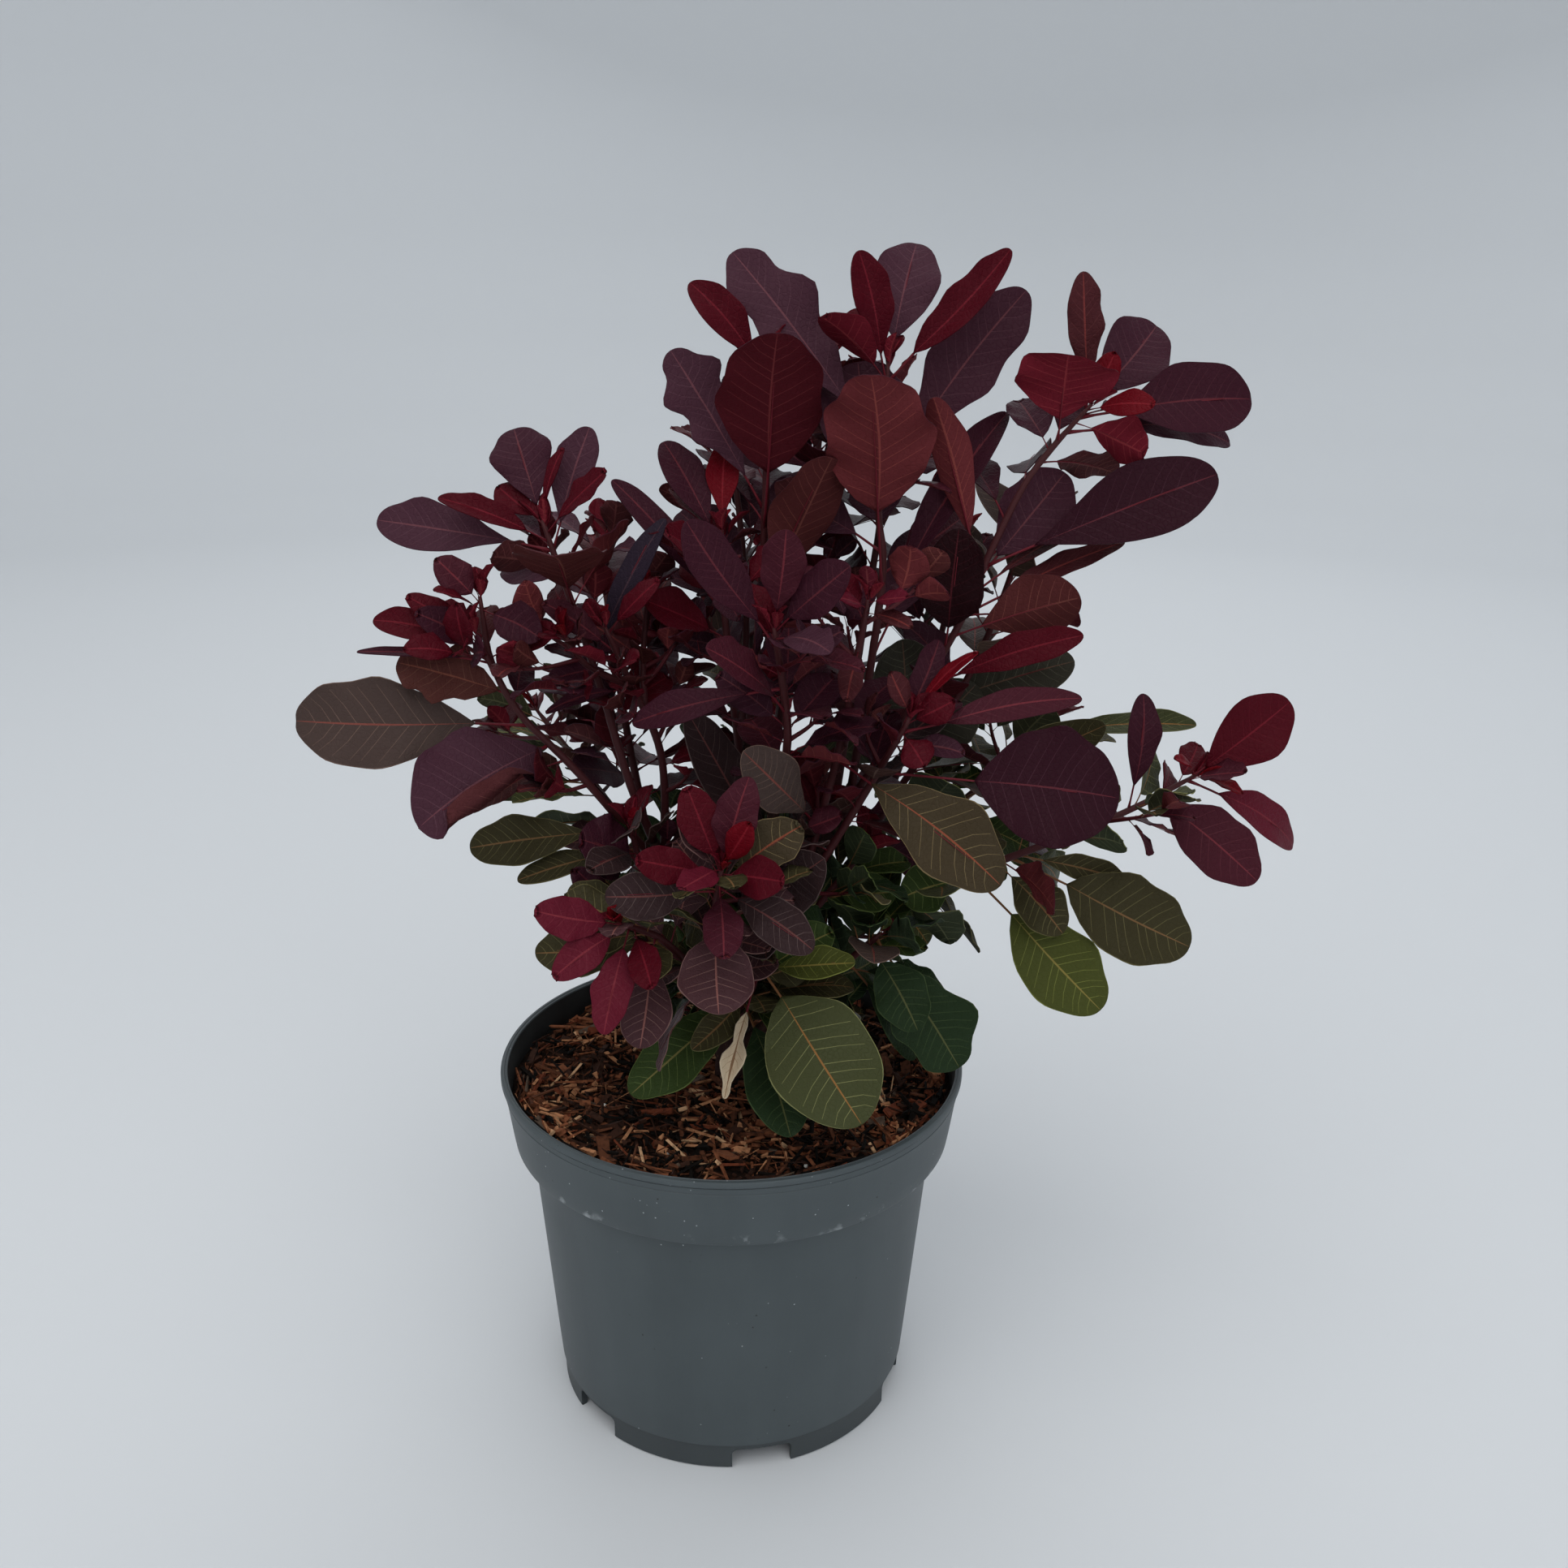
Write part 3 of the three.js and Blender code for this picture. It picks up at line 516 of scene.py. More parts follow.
def barkPaint(name, colour):
    paint = Paint(name)
    grain = paint.mottle(420, 5)
    dark = tuple(part * 0.45 for part in colour[:3]) + (1,)
    shade = paint.blend(paint.ramp(grain, 0.34, 0.54), dark, colour)
    return paint.finish(Base_Color=shade, Roughness=0.78 + grain * 0.2, Normal=paint.bump(grain, 0.0006, 0.8),
                        Specular_IOR_Level=0.12)


def makeBed():
    level, rings, skin = mulch["level"], mulch["rings"], pot["wall"] + mulch["clear"]
    foot, low, high, band = (pot[key] - skin for key in
                             ("footRadius", "bodyBottomRadius", "bodyTopRadius", "bandRadius"))
    floor, top = pot["floorTop"] + 0.4, level - 2.5
    wall = [(0, floor), (foot, floor), (low, pot["footHeight"] + 2), (high, pot["bodyTop"]),
            (band, pot["bandBottom"] + 1.4), (bedRadius(top), top)]
    bed = [(bedReach * (1 - k / rings), level) for k in range(rings + 1)]
    bm = turned(wall + bed, mulch["steps"])
    for vert in bm.verts:
        if vert.co.z > (level - 1) * mm:
            vert.co.z = bedHeight(vert.co.x / mm, vert.co.y / mm) * mm
    pieceFrom(bm, "mulch_bed", [soilPaint()], ["mulch"])


def strewChip(heap, kind, roll):
    length, width, thick = (mix(*kind[i], roll()) for i in range(3))
    turn = roll() * 2 * pi
    far = math.sqrt(roll()) * chipReach
    atWall = far + length * 0.45 > chipReach
    x, y = far * cos(turn), far * sin(turn)
    # a long chip near the wall lies along it, and none lies on the stem
    spin = turn + pi / 2 + (roll() - 0.5) * 0.5 if atWall else roll() * 2 * pi
    if math.hypot(x, y) < mulch["stemClear"]:
        return
    lift = bedHeight(x, y) + thick * 0.3 + roll() ** 2 * mulch["heap"]
    pitch = (roll() - 0.5) * (0.9 if length > 6 else 1.6)
    if atWall:
        pitch *= 0.4
        x, y = x * (chipReach - width) / chipReach, y * (chipReach - width) / chipReach
    place = (Matrix.Translation((x, y, lift)) @ Matrix.Rotation(spin, 4, "Z") @ Matrix.Rotation(pitch, 4, "Y")
             @ Matrix.Rotation((roll() - 0.5) * 1.6, 4, "X"))
    box = bmesh.ops.create_cube(heap, size=1)["verts"]
    taper = (mix(0.25, 1, roll()), mix(0.25, 1, roll()))
    bend = (roll() - 0.5) * 0.12 * length
    for vert in box:
        end = taper[vert.co.x > 0]
        spot = Vector((vert.co.x * length * mix(0.9, 1.05, roll()),
                       vert.co.y * width * end * mix(0.8, 1.1, roll()),
                       vert.co.z * thick * mix(0.5, 1.1, roll())))
        spot.y += bend * (abs(vert.co.x) * 2)
        vert.co = place @ spot * mm
    # it is darker in random patches, and painted shade darkens it along the pot wall
    patchAndWallShade = lumps(x, y, 21, mulch["darkPatchScale"]) * 1.4 + (far / chipReach) ** 5 * 0.5
    # painted shade: chips near the wall draw from the darker browns
    shares = mulch["darkPatchesAndWallShade" if patchAndWallShade > 0.24 else "dry"]
    tints = [k for k, share in enumerate(shares) for _ in range(share)]
    tint = oneOf(tints, roll)
    for face in facesOf(box):
        face.material_index = tint


def makeChips():
    chips, heap = bmesh.new(), bmesh.new()
    roll = dice(mulch["seed"])
    kinds = [kind for kind in mulch["kinds"].values() for _ in range(kind[3])]
    for k in range(mulch["chips"]):
        if k % 100 == 0:
            heap = gather(chips, heap)
        strewChip(heap, oneOf(kinds, roll), roll)
    gather(chips, heap).free()
    paints = [barkPaint(f"bark_{name}", colour) for name, colour in mulch["browns"].items()]
    paints.append(barkPaint("perlite", mulch["perlite"]))
    for x, y in mulch["perliteSpots"]:
        place = Matrix.Translation(Vector((x, y, bedHeight(x, y) + 2.2)) * mm)
        grain = bmesh.ops.create_icosphere(chips, subdivisions=1, matrix=place,
                                           radius=mulch["perliteRadius"] * mm)
        for face in facesOf(grain["verts"]):
            face.material_index = len(paints) - 1
    pieceFrom(chips, "mulch_chips", paints)


makeBed()
makeChips()
print("mulch strewn")


# the plant's plan: the same stump, boughs and shoots as the solids have

stump = {"route": [(-1, 1, 122), (0, 0, 148), (2, -3, 173)], "foot": 8.5, "tip": 6, "sides": 10, "steps": 4}
boughShape = {"foot": 3.4, "tip": 2.5, "sides": 6, "steps": 5, "collarOut": 8.5, "collarRise": 13}
shootShape = {"foot": 2.3, "tip": 1.5, "sides": 3, "steps": 5, "sideScale": 0.8, "heel": 0.3}
boughs = {  # share of the stump's route, then the route beyond the collar
    "right": (0.62, (30, -8, 190), (59, -10, 214)),
    "centre": (0.75, (18, -20, 205), (31, -35, 241)),
    "top": (0.85, (22, -2, 212), (46, -8, 268)),
    "topLeft": (0.95, (0, 6, 222), (6, 4, 282)),
    "middle": (0.85, (2, -19, 208), (18, -44, 275)),
    "left": (0.8, (-14, -14, 208), (-29, -24, 250)),
    "front": (0.55, (-1, -30, 182), (-6, -56, 206)),
    "lowRight": (0.4, (22, -16, 176), (36, -22, 190)),
    "back": (0.82, (8, 22, 212), (16, 42, 262)),
    "backLeft": (0.7, (-22, 18, 200), (-38, 30, 240)),
    "backRight": (0.75, (30, 20, 200), (58, 34, 232)),
    "lowBack": (0.45, (-2, 30, 180), (-2, 48, 200)),
}

# Each shoot: its bough and the share along it, its route, and side shoots, with the share where each starts.
# The rule: how many leaves, size, from where on the route, and the arc of bearings. Sprays: how many.
# Marked leaves: share of the route, tip, width, turn of the upper face to -Y, tone, then options.
# Options: how deep it is folded or lobed, one edge rolled over, the stalk's share, and its fullest place.
shoots = {
    "top_centre": {
        "on": ("top", 1), "route": [(55, -10, 347), (53, -8, 376), (55, -5, 426)],
        "rule": (7, 46, 0.3, 20, 200), "seed": 11, "tones": "purple plum wine", "sprays": 1, "marked": [
            (0.98, (65, 14, 467), 24, 0.6, "dusk"),
            (0.95, (43, -8, 463), 14, 0.8, "crimson", {"fold": 0.5}),
            (0.95, (97, 0, 463), 13, 0.8, "crimson", {"fold": 0.6}),
            (0.72, (105, 15, 449), 25, 0.85, "purple", {"lobed": 0.11}),
            (0.33, (47, -45, 425), 38, -0.6, "wine", {"stalk": 0.34, "full": 0.92}),
            (0.6, (45, 14, 424), 34, 0.8, "purple"), (0.25, (99, 10, 410), 14, 0.5, "plum", {"fold": 0.6}),
            (0.2, (81, 28, 366), 22, 0.5, "purple"),
            (0.8, (-1, 18, 462), 25, 0.85, "dusk", {"lobed": 0.18, "full": 1.4})]},
    "top_left": {
        "on": ("topLeft", 1), "route": [(11, 0, 351), (13, 0, 427)], "rule": (7, 46, 0.3, 20, 180),
        "seed": 12, "tones": "purple dusk plum", "sprays": 3, "marked": [
            (0.95, (-15, 0, 452), 14, 0.8, "crimson", {"fold": 0.45}),
            (0.64, (-23, 5, 428), 22, 0.8, "dusk", {"lobed": 0.24, "full": 1.5}),
            (0.6, (16, -38, 438), 37, -0.6, "plum", {"stalk": 0.27, "full": 0.96}),
            (0.9, (50, 8, 442), 14, 0.3, "crimson"), (0.35, (35, -20, 395), 24, -0.3, "umber")]},
    "inner_left": {
        "on": ("topLeft", 0.9), "route": [(-2, -8, 325), (-4, -8, 366)], "rule": (5, 36, 0.35, 60, 240),
        "seed": 13, "tones": "plum crimson purple", "sprays": 8, "marked": [
            (0.9, (-26, 10, 396), 15, 0.5, "plum"), (0.95, (-3, 5, 396), 12, 0.3, "bright"),
            (0.8, (-24, -25, 367), 20, 0.4, "crimson"), (0.6, (-44, 0, 383), 11, 0.5, "plum")]},
    "upper_right": {
        "on": ("top", 0.8),
        "route": [(79, -12, 323), (92, -10, 354), (105, -8, 383), (117, -5, 399), (128, -5, 412)],
        "rule": (9, 44, 0.25, 0, 150), "seed": 14, "tones": "plum purple dusk", "sprays": 1, "marked": [
            (0.97, (121, -10, 457), 13, 0.8, "umber"), (0.93, (154, 16, 439), 25, 0.8, "purple"),
            (0.93, (187, 5, 415), 27, 0.85, "plum", {"lobed": 0.06}),
            (0.8, (114, -30, 432), 35, -0.8, "crimson", {"fold": 0.06}),
            (0.97, (146, -24, 414), 11, 0.8, "bright"), (1, (135, -5, 430), 10, 0.6, "bright"),
            (0.9, (147, -14, 396), 18, -0.5, "crimson"), (0.85, (187, 15, 400), 14, 0.6, "purple"),
            (0.4, (173, -15, 390), 28, 0.9, "night", {"fold": 0.2, "full": 1.5}),
            (0.36, (122, 5, 386), 25, 0.7, "purple"), (0.75, (105, 17, 412), 17, 0.7, "purple"),
            (0.32, (135, 5, 369), 10, 0.3, "umber"), (0.2, (81, -27, 369), 24, 0.8, "deep"),
            (0.22, (126, -22, 346), 25, -0.7, "umber"), (0.26, (145, 0, 360), 10, 0.5, "umber"),
            (0.38, (70, -20, 416), 14, -0.7, "wine", {"fold": 0.5}),
            (0.16, (128, -25, 332), 13, 0.7, "crimson")]},
    "mid_right": {
        "on": ("centre", 1), "route": [(50, -42, 278), (64, -50, 308)], "rule": (3, 34, 0.3, 20, 120),
        "seed": 15, "tones": "plum umber smoky", "sprays": 5, "marked": [
            (0.95, (79, -52, 315), 12, 0.7, "crimson"), (0.9, (69, -58, 293), 13, 0.6, "crimson"),
            (1, (56, -52, 325), 9, 0.5, "umber"), (0.8, (84, -50, 296), 9, 0.5, "purple"),
            (0.9, (127, -35, 312), 12, 0.7, "wine"), (0.98, (87, -45, 331), 6, 0, "bright"),
            (0.85, (75, -42, 332), 11, 0.8, "plum"),
            (0.62, (139, -55, 281), 43, 0.85, "night", {"stalk": 0.4, "lobed": 0.02})]},
    "pink": {
        "on": ("centre", 0.82), "route": [(38, -39, 285), (45, -45, 328), (48, -50, 350)],
        "rule": (4, 30, 0.4, 30, 200), "seed": 16, "tones": "plum umber wine", "sprays": 4, "marked": [
            (0.2, (5, -65, 300), 20, 0.8, "bronze"),
            (0.36, (96, -62, 255), 29, 0.85, "moss", {"lobed": 0.07}), (1, (47, -56, 363), 6, 0, "rose"),
            (0.98, (61, -62, 353), 8, 0.5, "rose"), (0.92, (62, -66, 344), 7, 0.6, "umber"),
            (0.95, (37, -58, 352), 7, 0.5, "rose"), (0.7, (41, -66, 319), 9, 0.5, "umber")]},
    "centre": {
        "on": ("middle", 1), "route": [(21, -50, 303), (16, -60, 342)], "rule": (5, 34, 0.3, 30, 200),
        "seed": 17, "tones": "plum wine purple", "sprays": 9, "marked": [
            (0.9, (-14, -62, 378), 17, 0.7, "plum"), (0.98, (20, -72, 378), 15, 0.7, "wine"),
            (0.98, (41, -74, 366), 17, 0.7, "plum"), (0.6, (-6, -86, 341), 16, 0.5, "wine"),
            (0.95, (34, -96, 343), 13, 0.4, "dusk"), (0.72, (-34, -52, 306), 13, 0.6, "plum")]},
    "left_upper": {
        "on": ("left", 1), "route": [(-38, -25, 275), (-47, -20, 305), (-56, -15, 332), (-69, -10, 369)],
        "rule": (7, 36, 0.4, 20, 180), "seed": 18, "tones": "crimson plum dusk", "sprays": 5, "marked": [
            (0.98, (-81, 5, 401), 22, 0.8, "purple", {"full": 1.5}),
            (0.93, (-130, -5, 367), 20, 0.7, "dusk", {"full": 1.5}),
            (0.95, (-104, -18, 379), 10, 0.6, "crimson", {"fold": 0.5}),
            (1, (-61, -8, 395), 6, 0.3, "crimson"), (0.99, (-86, -2, 380), 12, 0.7, "crimson"),
            (0.93, (-52, 5, 400), 15, 0.7, "dusk"), (0.97, (-43, -20, 388), 11, 0.5, "crimson"),
            (0.8, (-58, -62, 369), 32, -0.3, "umber"), (0.85, (-86, 5, 351), 18, 0.6, "dusk"),
            (0.8, (-37, -5, 368), 17, -0.3, "wine"), (0.62, (-25, -20, 372), 11, 0.6, "shade")]},
    "left_mid": {
        "on": ("left", 0.86), "route": [(-55, -34, 280), (-76, -32, 302), (-86, -31, 322), (-89, -30, 345)],
        "side": [(0.7, [(-90, -36, 332)])], "rule": (4, 30, 0.5, 60, 170), "seed": 19,
        "tones": "crimson plum umber", "sprays": 8, "marked": [
            (0.97, (-103, -32, 359), 13, 0.6, "wine"), (0.95, (-66, -42, 333), 15, 0.7, "plum"),
            (0.95, (-102, -40, 350), 7, 0.3, "crimson"), (0.8, (-126, -36, 338), 12, 0.7, "crimson"),
            (0.84, (-114, -30, 346), 10, 0.7, "crimson"), (0.78, (-109, -44, 342), 12, 0.7, "plum"),
            (0.74, (-133, -35, 325), 5, 0.4, "plum"), (0.76, (-61, -44, 336), 11, 0.7, "crimson"),
            (0.6, (-120, -36, 321), 23, 0.6, "brown", {"lobed": 0.2, "stalk": 0.06}),
            (0.45, (-160, -27, 297), 33, 0.85, "bronze", {"lobed": 0.03, "full": 1.25}),
            (0.36, (-108, -64, 270), 40, 0.8, "dusk", {"fold": 0.15, "rolled": 1, "stalk": 0.06, "full": 1.2}),
            (0.3, (-95, -42, 267), 27, -0.4, "umber"), (0.12, (-100, -20, 245), 19, 0.8, "olive"),
            (0.08, (-81, -26, 234), 11, 0.5, "olive")]},
    "left_inner": {
        "on": ("left", 0.92), "route": [(-26, -22, 284), (-38, -26, 316), (-45, -28, 334)],
        "side": [(0.5, [(-33, -14, 318), (-31, -10, 342)]), (0.6, [(-52, -34, 322), (-58, -36, 332)])],
        "rule": (17, 22, 0.35, 0, 360), "seed": 20, "tones": "crimson wine umber crimson plum",
        "sprays": 15, "marked": [
            (0.95, (-26, -12, 352), 9, 0.5, "crimson"), (0.8, (-67, -22, 343), 10, 0.5, "wine"),
            (0.6, (-66, -38, 306), 6, 0.5, "plum"), (0.7, (-68, -38, 314), 9, 0.5, "plum")]},
    "front_rosette": {
        "on": ("front", 1), "route": [(-4, -70, 240), (-1, -80, 262)], "rule": (4, 34, 0.3, 20, 160),
        "seed": 21, "tones": "rust olive", "sprays": 3, "marked": [
            (0.95, (-13, -75, 290), 15, 0.8, "crimson"), (0.93, (8, -77, 294), 15, 0.8, "wine"),
            (1, (9, -88, 282), 10, 0.8, "bright"), (0.93, (-30, -90, 269), 13, 0.8, "crimson"),
            (1, (-13, -113, 268), 11, 0.5, "rose"), (0.95, (21, -96, 264), 15, 0.8, "crimson"),
            (0.85, (26, -74, 276), 17, 0.8, "moss"), (0.75, (-40, -86, 254), 17, 0.8, "smoky"),
            (0.85, (1, -108, 240), 14, 0.6, "wine"), (0.8, (30, -96, 240), 16, 0.8, "smoky"),
            (0.55, (-1, -102, 217), 27, 0.7, "rust")]},
    "front_left": {
        "on": ("front", 0.86), "route": [(-22, -66, 228), (-36, -80, 241)], "rule": (3, 34, 0.3, 100, 200),
        "seed": 22, "tones": "olive rust", "sprays": 3, "marked": [
            (0.95, (-64, -90, 250), 15, 0.8, "rose"), (0.95, (-57, -97, 229), 13, 0.8, "rose"),
            (0.9, (-40, -106, 213), 14, 0.8, "rose"), (0.85, (-23, -106, 229), 12, 0.8, "crimson"),
            (0.6, (-29, -92, 199), 19, 0.8, "rust"), (0.5, (-69, -66, 223), 18, 0.7, "olive"),
            (0.6, (-57, -60, 246), 14, 0.7, "olive")]},
    "low_front": {
        "on": ("front", 0.55), "route": [(8, -42, 196), (12, -54, 215)], "rule": (3, 40, 0.3, 0, 90),
        "seed": 23, "tones": "green olive", "sprays": 2, "marked": [
            (0.95, (49, -94, 171), 40, 0.5, "sage", {"lobed": 0.03, "full": 1.05}),
            (0.6, (-35, -72, 169), 22, 0.8, "green"), (0.35, (24, -86, 161), 24, 0.5, "darkGreen"),
            (0.85, (46, -66, 221), 14, 0.4, "fresh"), (0.5, (-12, -76, 190), 12, 0.8, "olive"),
            (0.75, (0, -84, 174), 6, 0.5, "dry", {"fold": 1.2, "lobed": 0.5, "stalk": 0.3})]},
    "low_right": {
        "on": ("lowRight", 1), "route": [(48, -25, 204), (58, -28, 215)], "rule": (4, 42, 0.2, 0, 120),
        "seed": 24, "tones": "green darkGreen", "sprays": 2, "marked": [
            (0.9, (90, -32, 160), 30, 0.85, "darkGreen", {"lobed": 0.16}),
            (0.8, (72, -46, 183), 21, 0.85, "darkGreen"), (0.4, (77, -22, 157), 16, 0.6, "darkGreen"),
            (0.7, (54, -64, 222), 20, 0.7, "bronze")]},
    "right": {
        "on": ("right", 1), "route": [(97, -15, 237), (122, -15, 248), (153, -10, 260), (179, -5, 273)],
        "rule": (5, 40, 0.3, 20, 160), "seed": 25, "tones": "olive sage wine", "sprays": 1, "marked": [
            (0.2, (65, -24, 228), 19, 0.8, "green"),
            (0.22, (143, -37, 188), 30, 0.85, "fresh", {"stalk": 0.3}),
            (0.35, (178, -26, 210), 33, 0.85, "olive", {"stalk": 0.3}),
            (0.3, (126, -37, 221), 19, 0.8, "olive"), (0.38, (154, -12, 231), 11, 0.7, "olive"),
            (0.4, (136, 20, 215), 20, 0.6, "sage"),
            (0.98, (214, 2, 301), 25, 0.85, "crimson", {"stalk": 0.14}),
            (0.97, (230, 14, 238), 17, 0.6, "rose"),
            (0.85, (201, -22, 236), 25, 0.85, "wine", {"stalk": 0.12}),
            (1, (168, -16, 284), 6, 0.3, "bright"), (1, (196, -10, 267), 7, 0.3, "bright"),
            (0.75, (157, -6, 305), 13, 0.7, "plum")]},
    "inner_right": {
        "on": ("centre", 0.62), "route": [(34, -26, 226), (50, -22, 246)], "rule": (10, 38, 0.2, -120, 200),
        "seed": 34, "tones": "green darkGreen olive", "sprays": 5},
    "low_left": {
        "on": ("left", 0.6), "route": [(-30, -32, 236), (-36, -42, 262)], "rule": (9, 36, 0.2, -60, 300),
        "seed": 35, "tones": "smoky olive green plum", "sprays": 6, "marked": [
            (0.7, (-52, -52, 262), 25, 0.6, "plum")]},
    "inner_front": {
        "on": ("centre", 0.5), "route": [(12, -36, 226), (10, -50, 258)], "rule": (7, 36, 0.25, -170, 60),
        "seed": 36, "tones": "smoky olive green", "sprays": 7, "marked": [
            (0.6, (32, -72, 262), 24, 0.8, "smoky")]},
    "inner_low": {
        "on": ("middle", 0.6), "route": [(20, -24, 232), (36, -18, 262)], "rule": (14, 42, 0.15, 0, 360),
        "seed": 26, "tones": "green darkGreen smoky", "sprays": 8, "marked": [
            (0.5, (-17, -55, 305), 19, 0.7, "smoky")]},
    "behind_top": {
        "on": ("top", 0.9), "route": [(50, 16, 325), (58, 38, 375), (60, 50, 408)],
        "rule": (10, 44, 0.2, 50, 240), "seed": 37, "tones": "purple plum dusk", "sprays": 6},
    "behind_left": {
        "on": ("topLeft", 0.85), "route": [(4, 28, 330), (-2, 52, 388)], "rule": (10, 42, 0.2, 20, 220),
        "seed": 38, "tones": "purple plum wine", "sprays": 7},
    "behind_right": {
        "on": ("backRight", 0.9), "route": [(94, 36, 300), (118, 44, 366)], "rule": (10, 42, 0.2, -20, 180),
        "seed": 39, "tones": "plum purple bronze", "sprays": 4},
    "back_top": {
        "on": ("back", 1), "route": [(24, 46, 330), (32, 66, 382), (32, 80, 418)],
        "rule": (16, 50, 0.15, 0, 360), "seed": 27, "tones": "purple plum dusk wine", "sprays": 4},
    "back_middle": {
        "on": ("back", 0.85), "route": [(18, 72, 290), (10, 112, 334)], "rule": (12, 46, 0.2, 0, 360),
        "seed": 28, "tones": "wine plum bronze olive", "sprays": 5},
    "back_left_upper": {
        "on": ("backLeft", 1), "route": [(-48, 48, 285), (-60, 78, 350)], "rule": (13, 44, 0.2, 0, 360),
        "seed": 29, "tones": "plum dusk wine", "sprays": 7},
    "back_left_low": {
        "on": ("backLeft", 0.8), "route": [(-64, 62, 246), (-92, 94, 268)], "rule": (11, 48, 0.15, 0, 360),
        "seed": 30, "tones": "olive sage bronze rust", "sprays": 7},
    "back_right_upper": {
        "on": ("backRight", 1), "route": [(78, 52, 288), (96, 78, 352)], "rule": (10, 46, 0.2, 0, 360),
        "seed": 31, "tones": "slate bronze plum", "sprays": 5, "marked": [
            (0.3, (66, 25, 318), 28, 0.8, "slate"), (0.25, (98, 30, 296), 28, 0.8, "slate"),
            (0.45, (136, 25, 308), 26, 0.8, "slate")]},
    "back_right_low": {
        "on": ("backRight", 0.8), "route": [(98, 58, 240), (130, 82, 266)], "rule": (10, 50, 0.15, 0, 360),
        "seed": 32, "tones": "olive green sage", "sprays": 5, "marked": [
            (0.9, (188, 32, 281), 14, 0.5, "sage"), (0.5, (147, 22, 284), 20, 0.8, "olive")]},
    "low_back": {
        "on": ("lowBack", 1), "route": [(0, 76, 215), (4, 118, 242)], "rule": (12, 50, 0.1, 0, 360),
        "seed": 33, "tones": "green darkGreen olive", "sprays": 5},
}

# Tones: upper face, its side veins, its midrib, under face, its veins, and whether the margin is pale
tones = {
    "purple": ((59, 29, 40), (84, 52, 60), (94, 50, 56), (76, 32, 36), (108, 58, 56), False),
    # dusk: a lilac-purple leaf colour, partly the leaf's own and partly a painted bluish sheen
    "dusk": ((68, 39, 50), (92, 60, 70), (100, 58, 66), (80, 40, 42), (112, 64, 62), False),
    "plum": ((54, 21, 32), (76, 38, 46), (88, 36, 44), (72, 20, 27), (102, 42, 44), False),
    "night": ((45, 16, 26), (68, 38, 48), (86, 36, 44), (60, 18, 24), (90, 38, 40), False),
    "deep": ((28, 3, 8), (54, 15, 21), (68, 20, 26), (50, 14, 18), (76, 30, 30), False),
    "wine": ((66, 25, 35), (92, 44, 52), (106, 42, 50), (98, 41, 44), (128, 62, 58), False),
    "crimson": ((72, 9, 21), (88, 16, 28), (102, 22, 34), (106, 27, 39), (134, 48, 54), False),
    "bright": ((94, 5, 18), (106, 14, 26), (120, 24, 34), (112, 16, 24), (140, 40, 42), False),
    "rose": ((90, 22, 37), (104, 36, 48), (116, 40, 50), (96, 32, 44), (126, 58, 62), False),
    "umber": ((70, 30, 34), (96, 50, 50), (112, 48, 46), (78, 36, 36), (108, 60, 54), False),
    "brown": ((78, 42, 38), (106, 70, 58), (116, 66, 54), (84, 52, 44), (114, 84, 68), False),
    "slate": ((60, 57, 48), (92, 88, 74), (100, 76, 62), (58, 56, 46), (86, 82, 68), True),
    "shade": ((40, 30, 41), (58, 46, 56), (66, 46, 54), (50, 30, 36), (74, 50, 52), False),
    "rust": ((70, 45, 48), (114, 84, 80), (130, 84, 78), (84, 52, 48), (124, 92, 82), True),
    "smoky": ((50, 35, 36), (84, 68, 66), (96, 56, 54), (64, 42, 38), (98, 76, 70), True),
    "bronze": ((72, 58, 54), (110, 88, 78), (124, 68, 60), (84, 66, 58), (126, 100, 86), True),
    "moss": ((62, 52, 37), (116, 100, 70), (132, 70, 50), (84, 76, 56), (124, 110, 82), True),
    "olive": ((58, 53, 34), (102, 95, 62), (116, 86, 56), (60, 60, 42), (94, 92, 66), True),
    "sage": ((65, 68, 42), (120, 120, 78), (140, 98, 54), (66, 72, 54), (104, 108, 80), True),
    "green": ((47, 60, 28), (86, 98, 52), (112, 104, 58), (54, 62, 43), (86, 94, 64), True),
    "darkGreen": ((36, 50, 30), (62, 76, 46), (84, 86, 52), (46, 56, 40), (72, 82, 58), True),
    "fresh": ((70, 74, 34), (114, 118, 58), (130, 116, 60), (70, 80, 44), (106, 114, 68), True),
    "dry": ((196, 178, 152), (140, 112, 86), (126, 98, 74), (200, 182, 158), (162, 142, 116), False),
}


# leaves: the plain shapes that the solids have, and where they find room

leafShape = {
    "stalkShare": 0.22, "stalkHalf": 0.55, "stalkDepth": 0.9, "thick": 1.1, "fold": 0.22, "arch": 0.05,
    "clear": 1.2, "swings": [0, 5, -5, 10, -10, 16, -16, 22, -22],
    "outlines": [(24, [(0.6, 0.5)]), (60, [(0.3, 0.47), (0.74, 0.5)]),
                 (1e9, [(0.24, 0.36), (0.55, 0.5), (0.86, 0.36)])],
}
rule = {"spiral": 0.618, "open": (78, 34), "openSpread": 14, "size": (1.15, 0.7), "sizeSpread": (0.85, 0.3),
        "slimmest": 0.42, "slimSpread": 0.14, "twist": 50, "freshFrom": 0.86, "freshAbove": 250}
crown = {"centre": (25, 0, 300), "reach": (212, 160, 172), "lowest": 146, "rimClear": 152}


class Blade:
    def __init__(self, root, tip, heading, turn, twist, width):
        self.root = root
        self.along = (tip - root).normalized()
        self.reach = (tip - root).length
        self.width = width
        lift = (heading * 0.5 + up * 0.5) * (1 - abs(turn)) + Vector((0, -turn, 0.3 * turn))
        self.up = Matrix.Rotation(twist, 3, self.along) @ square(lift, self.along)
        self.side = self.up.cross(self.along)

    def spot(self, share, across, lift):
        arch = leafShape["arch"] * self.reach * 4 * share * (1 - share)
        rise = lift + leafShape["fold"] * abs(across) + arch
        return self.root + self.along * (share * self.reach) + self.side * across + self.up * rise


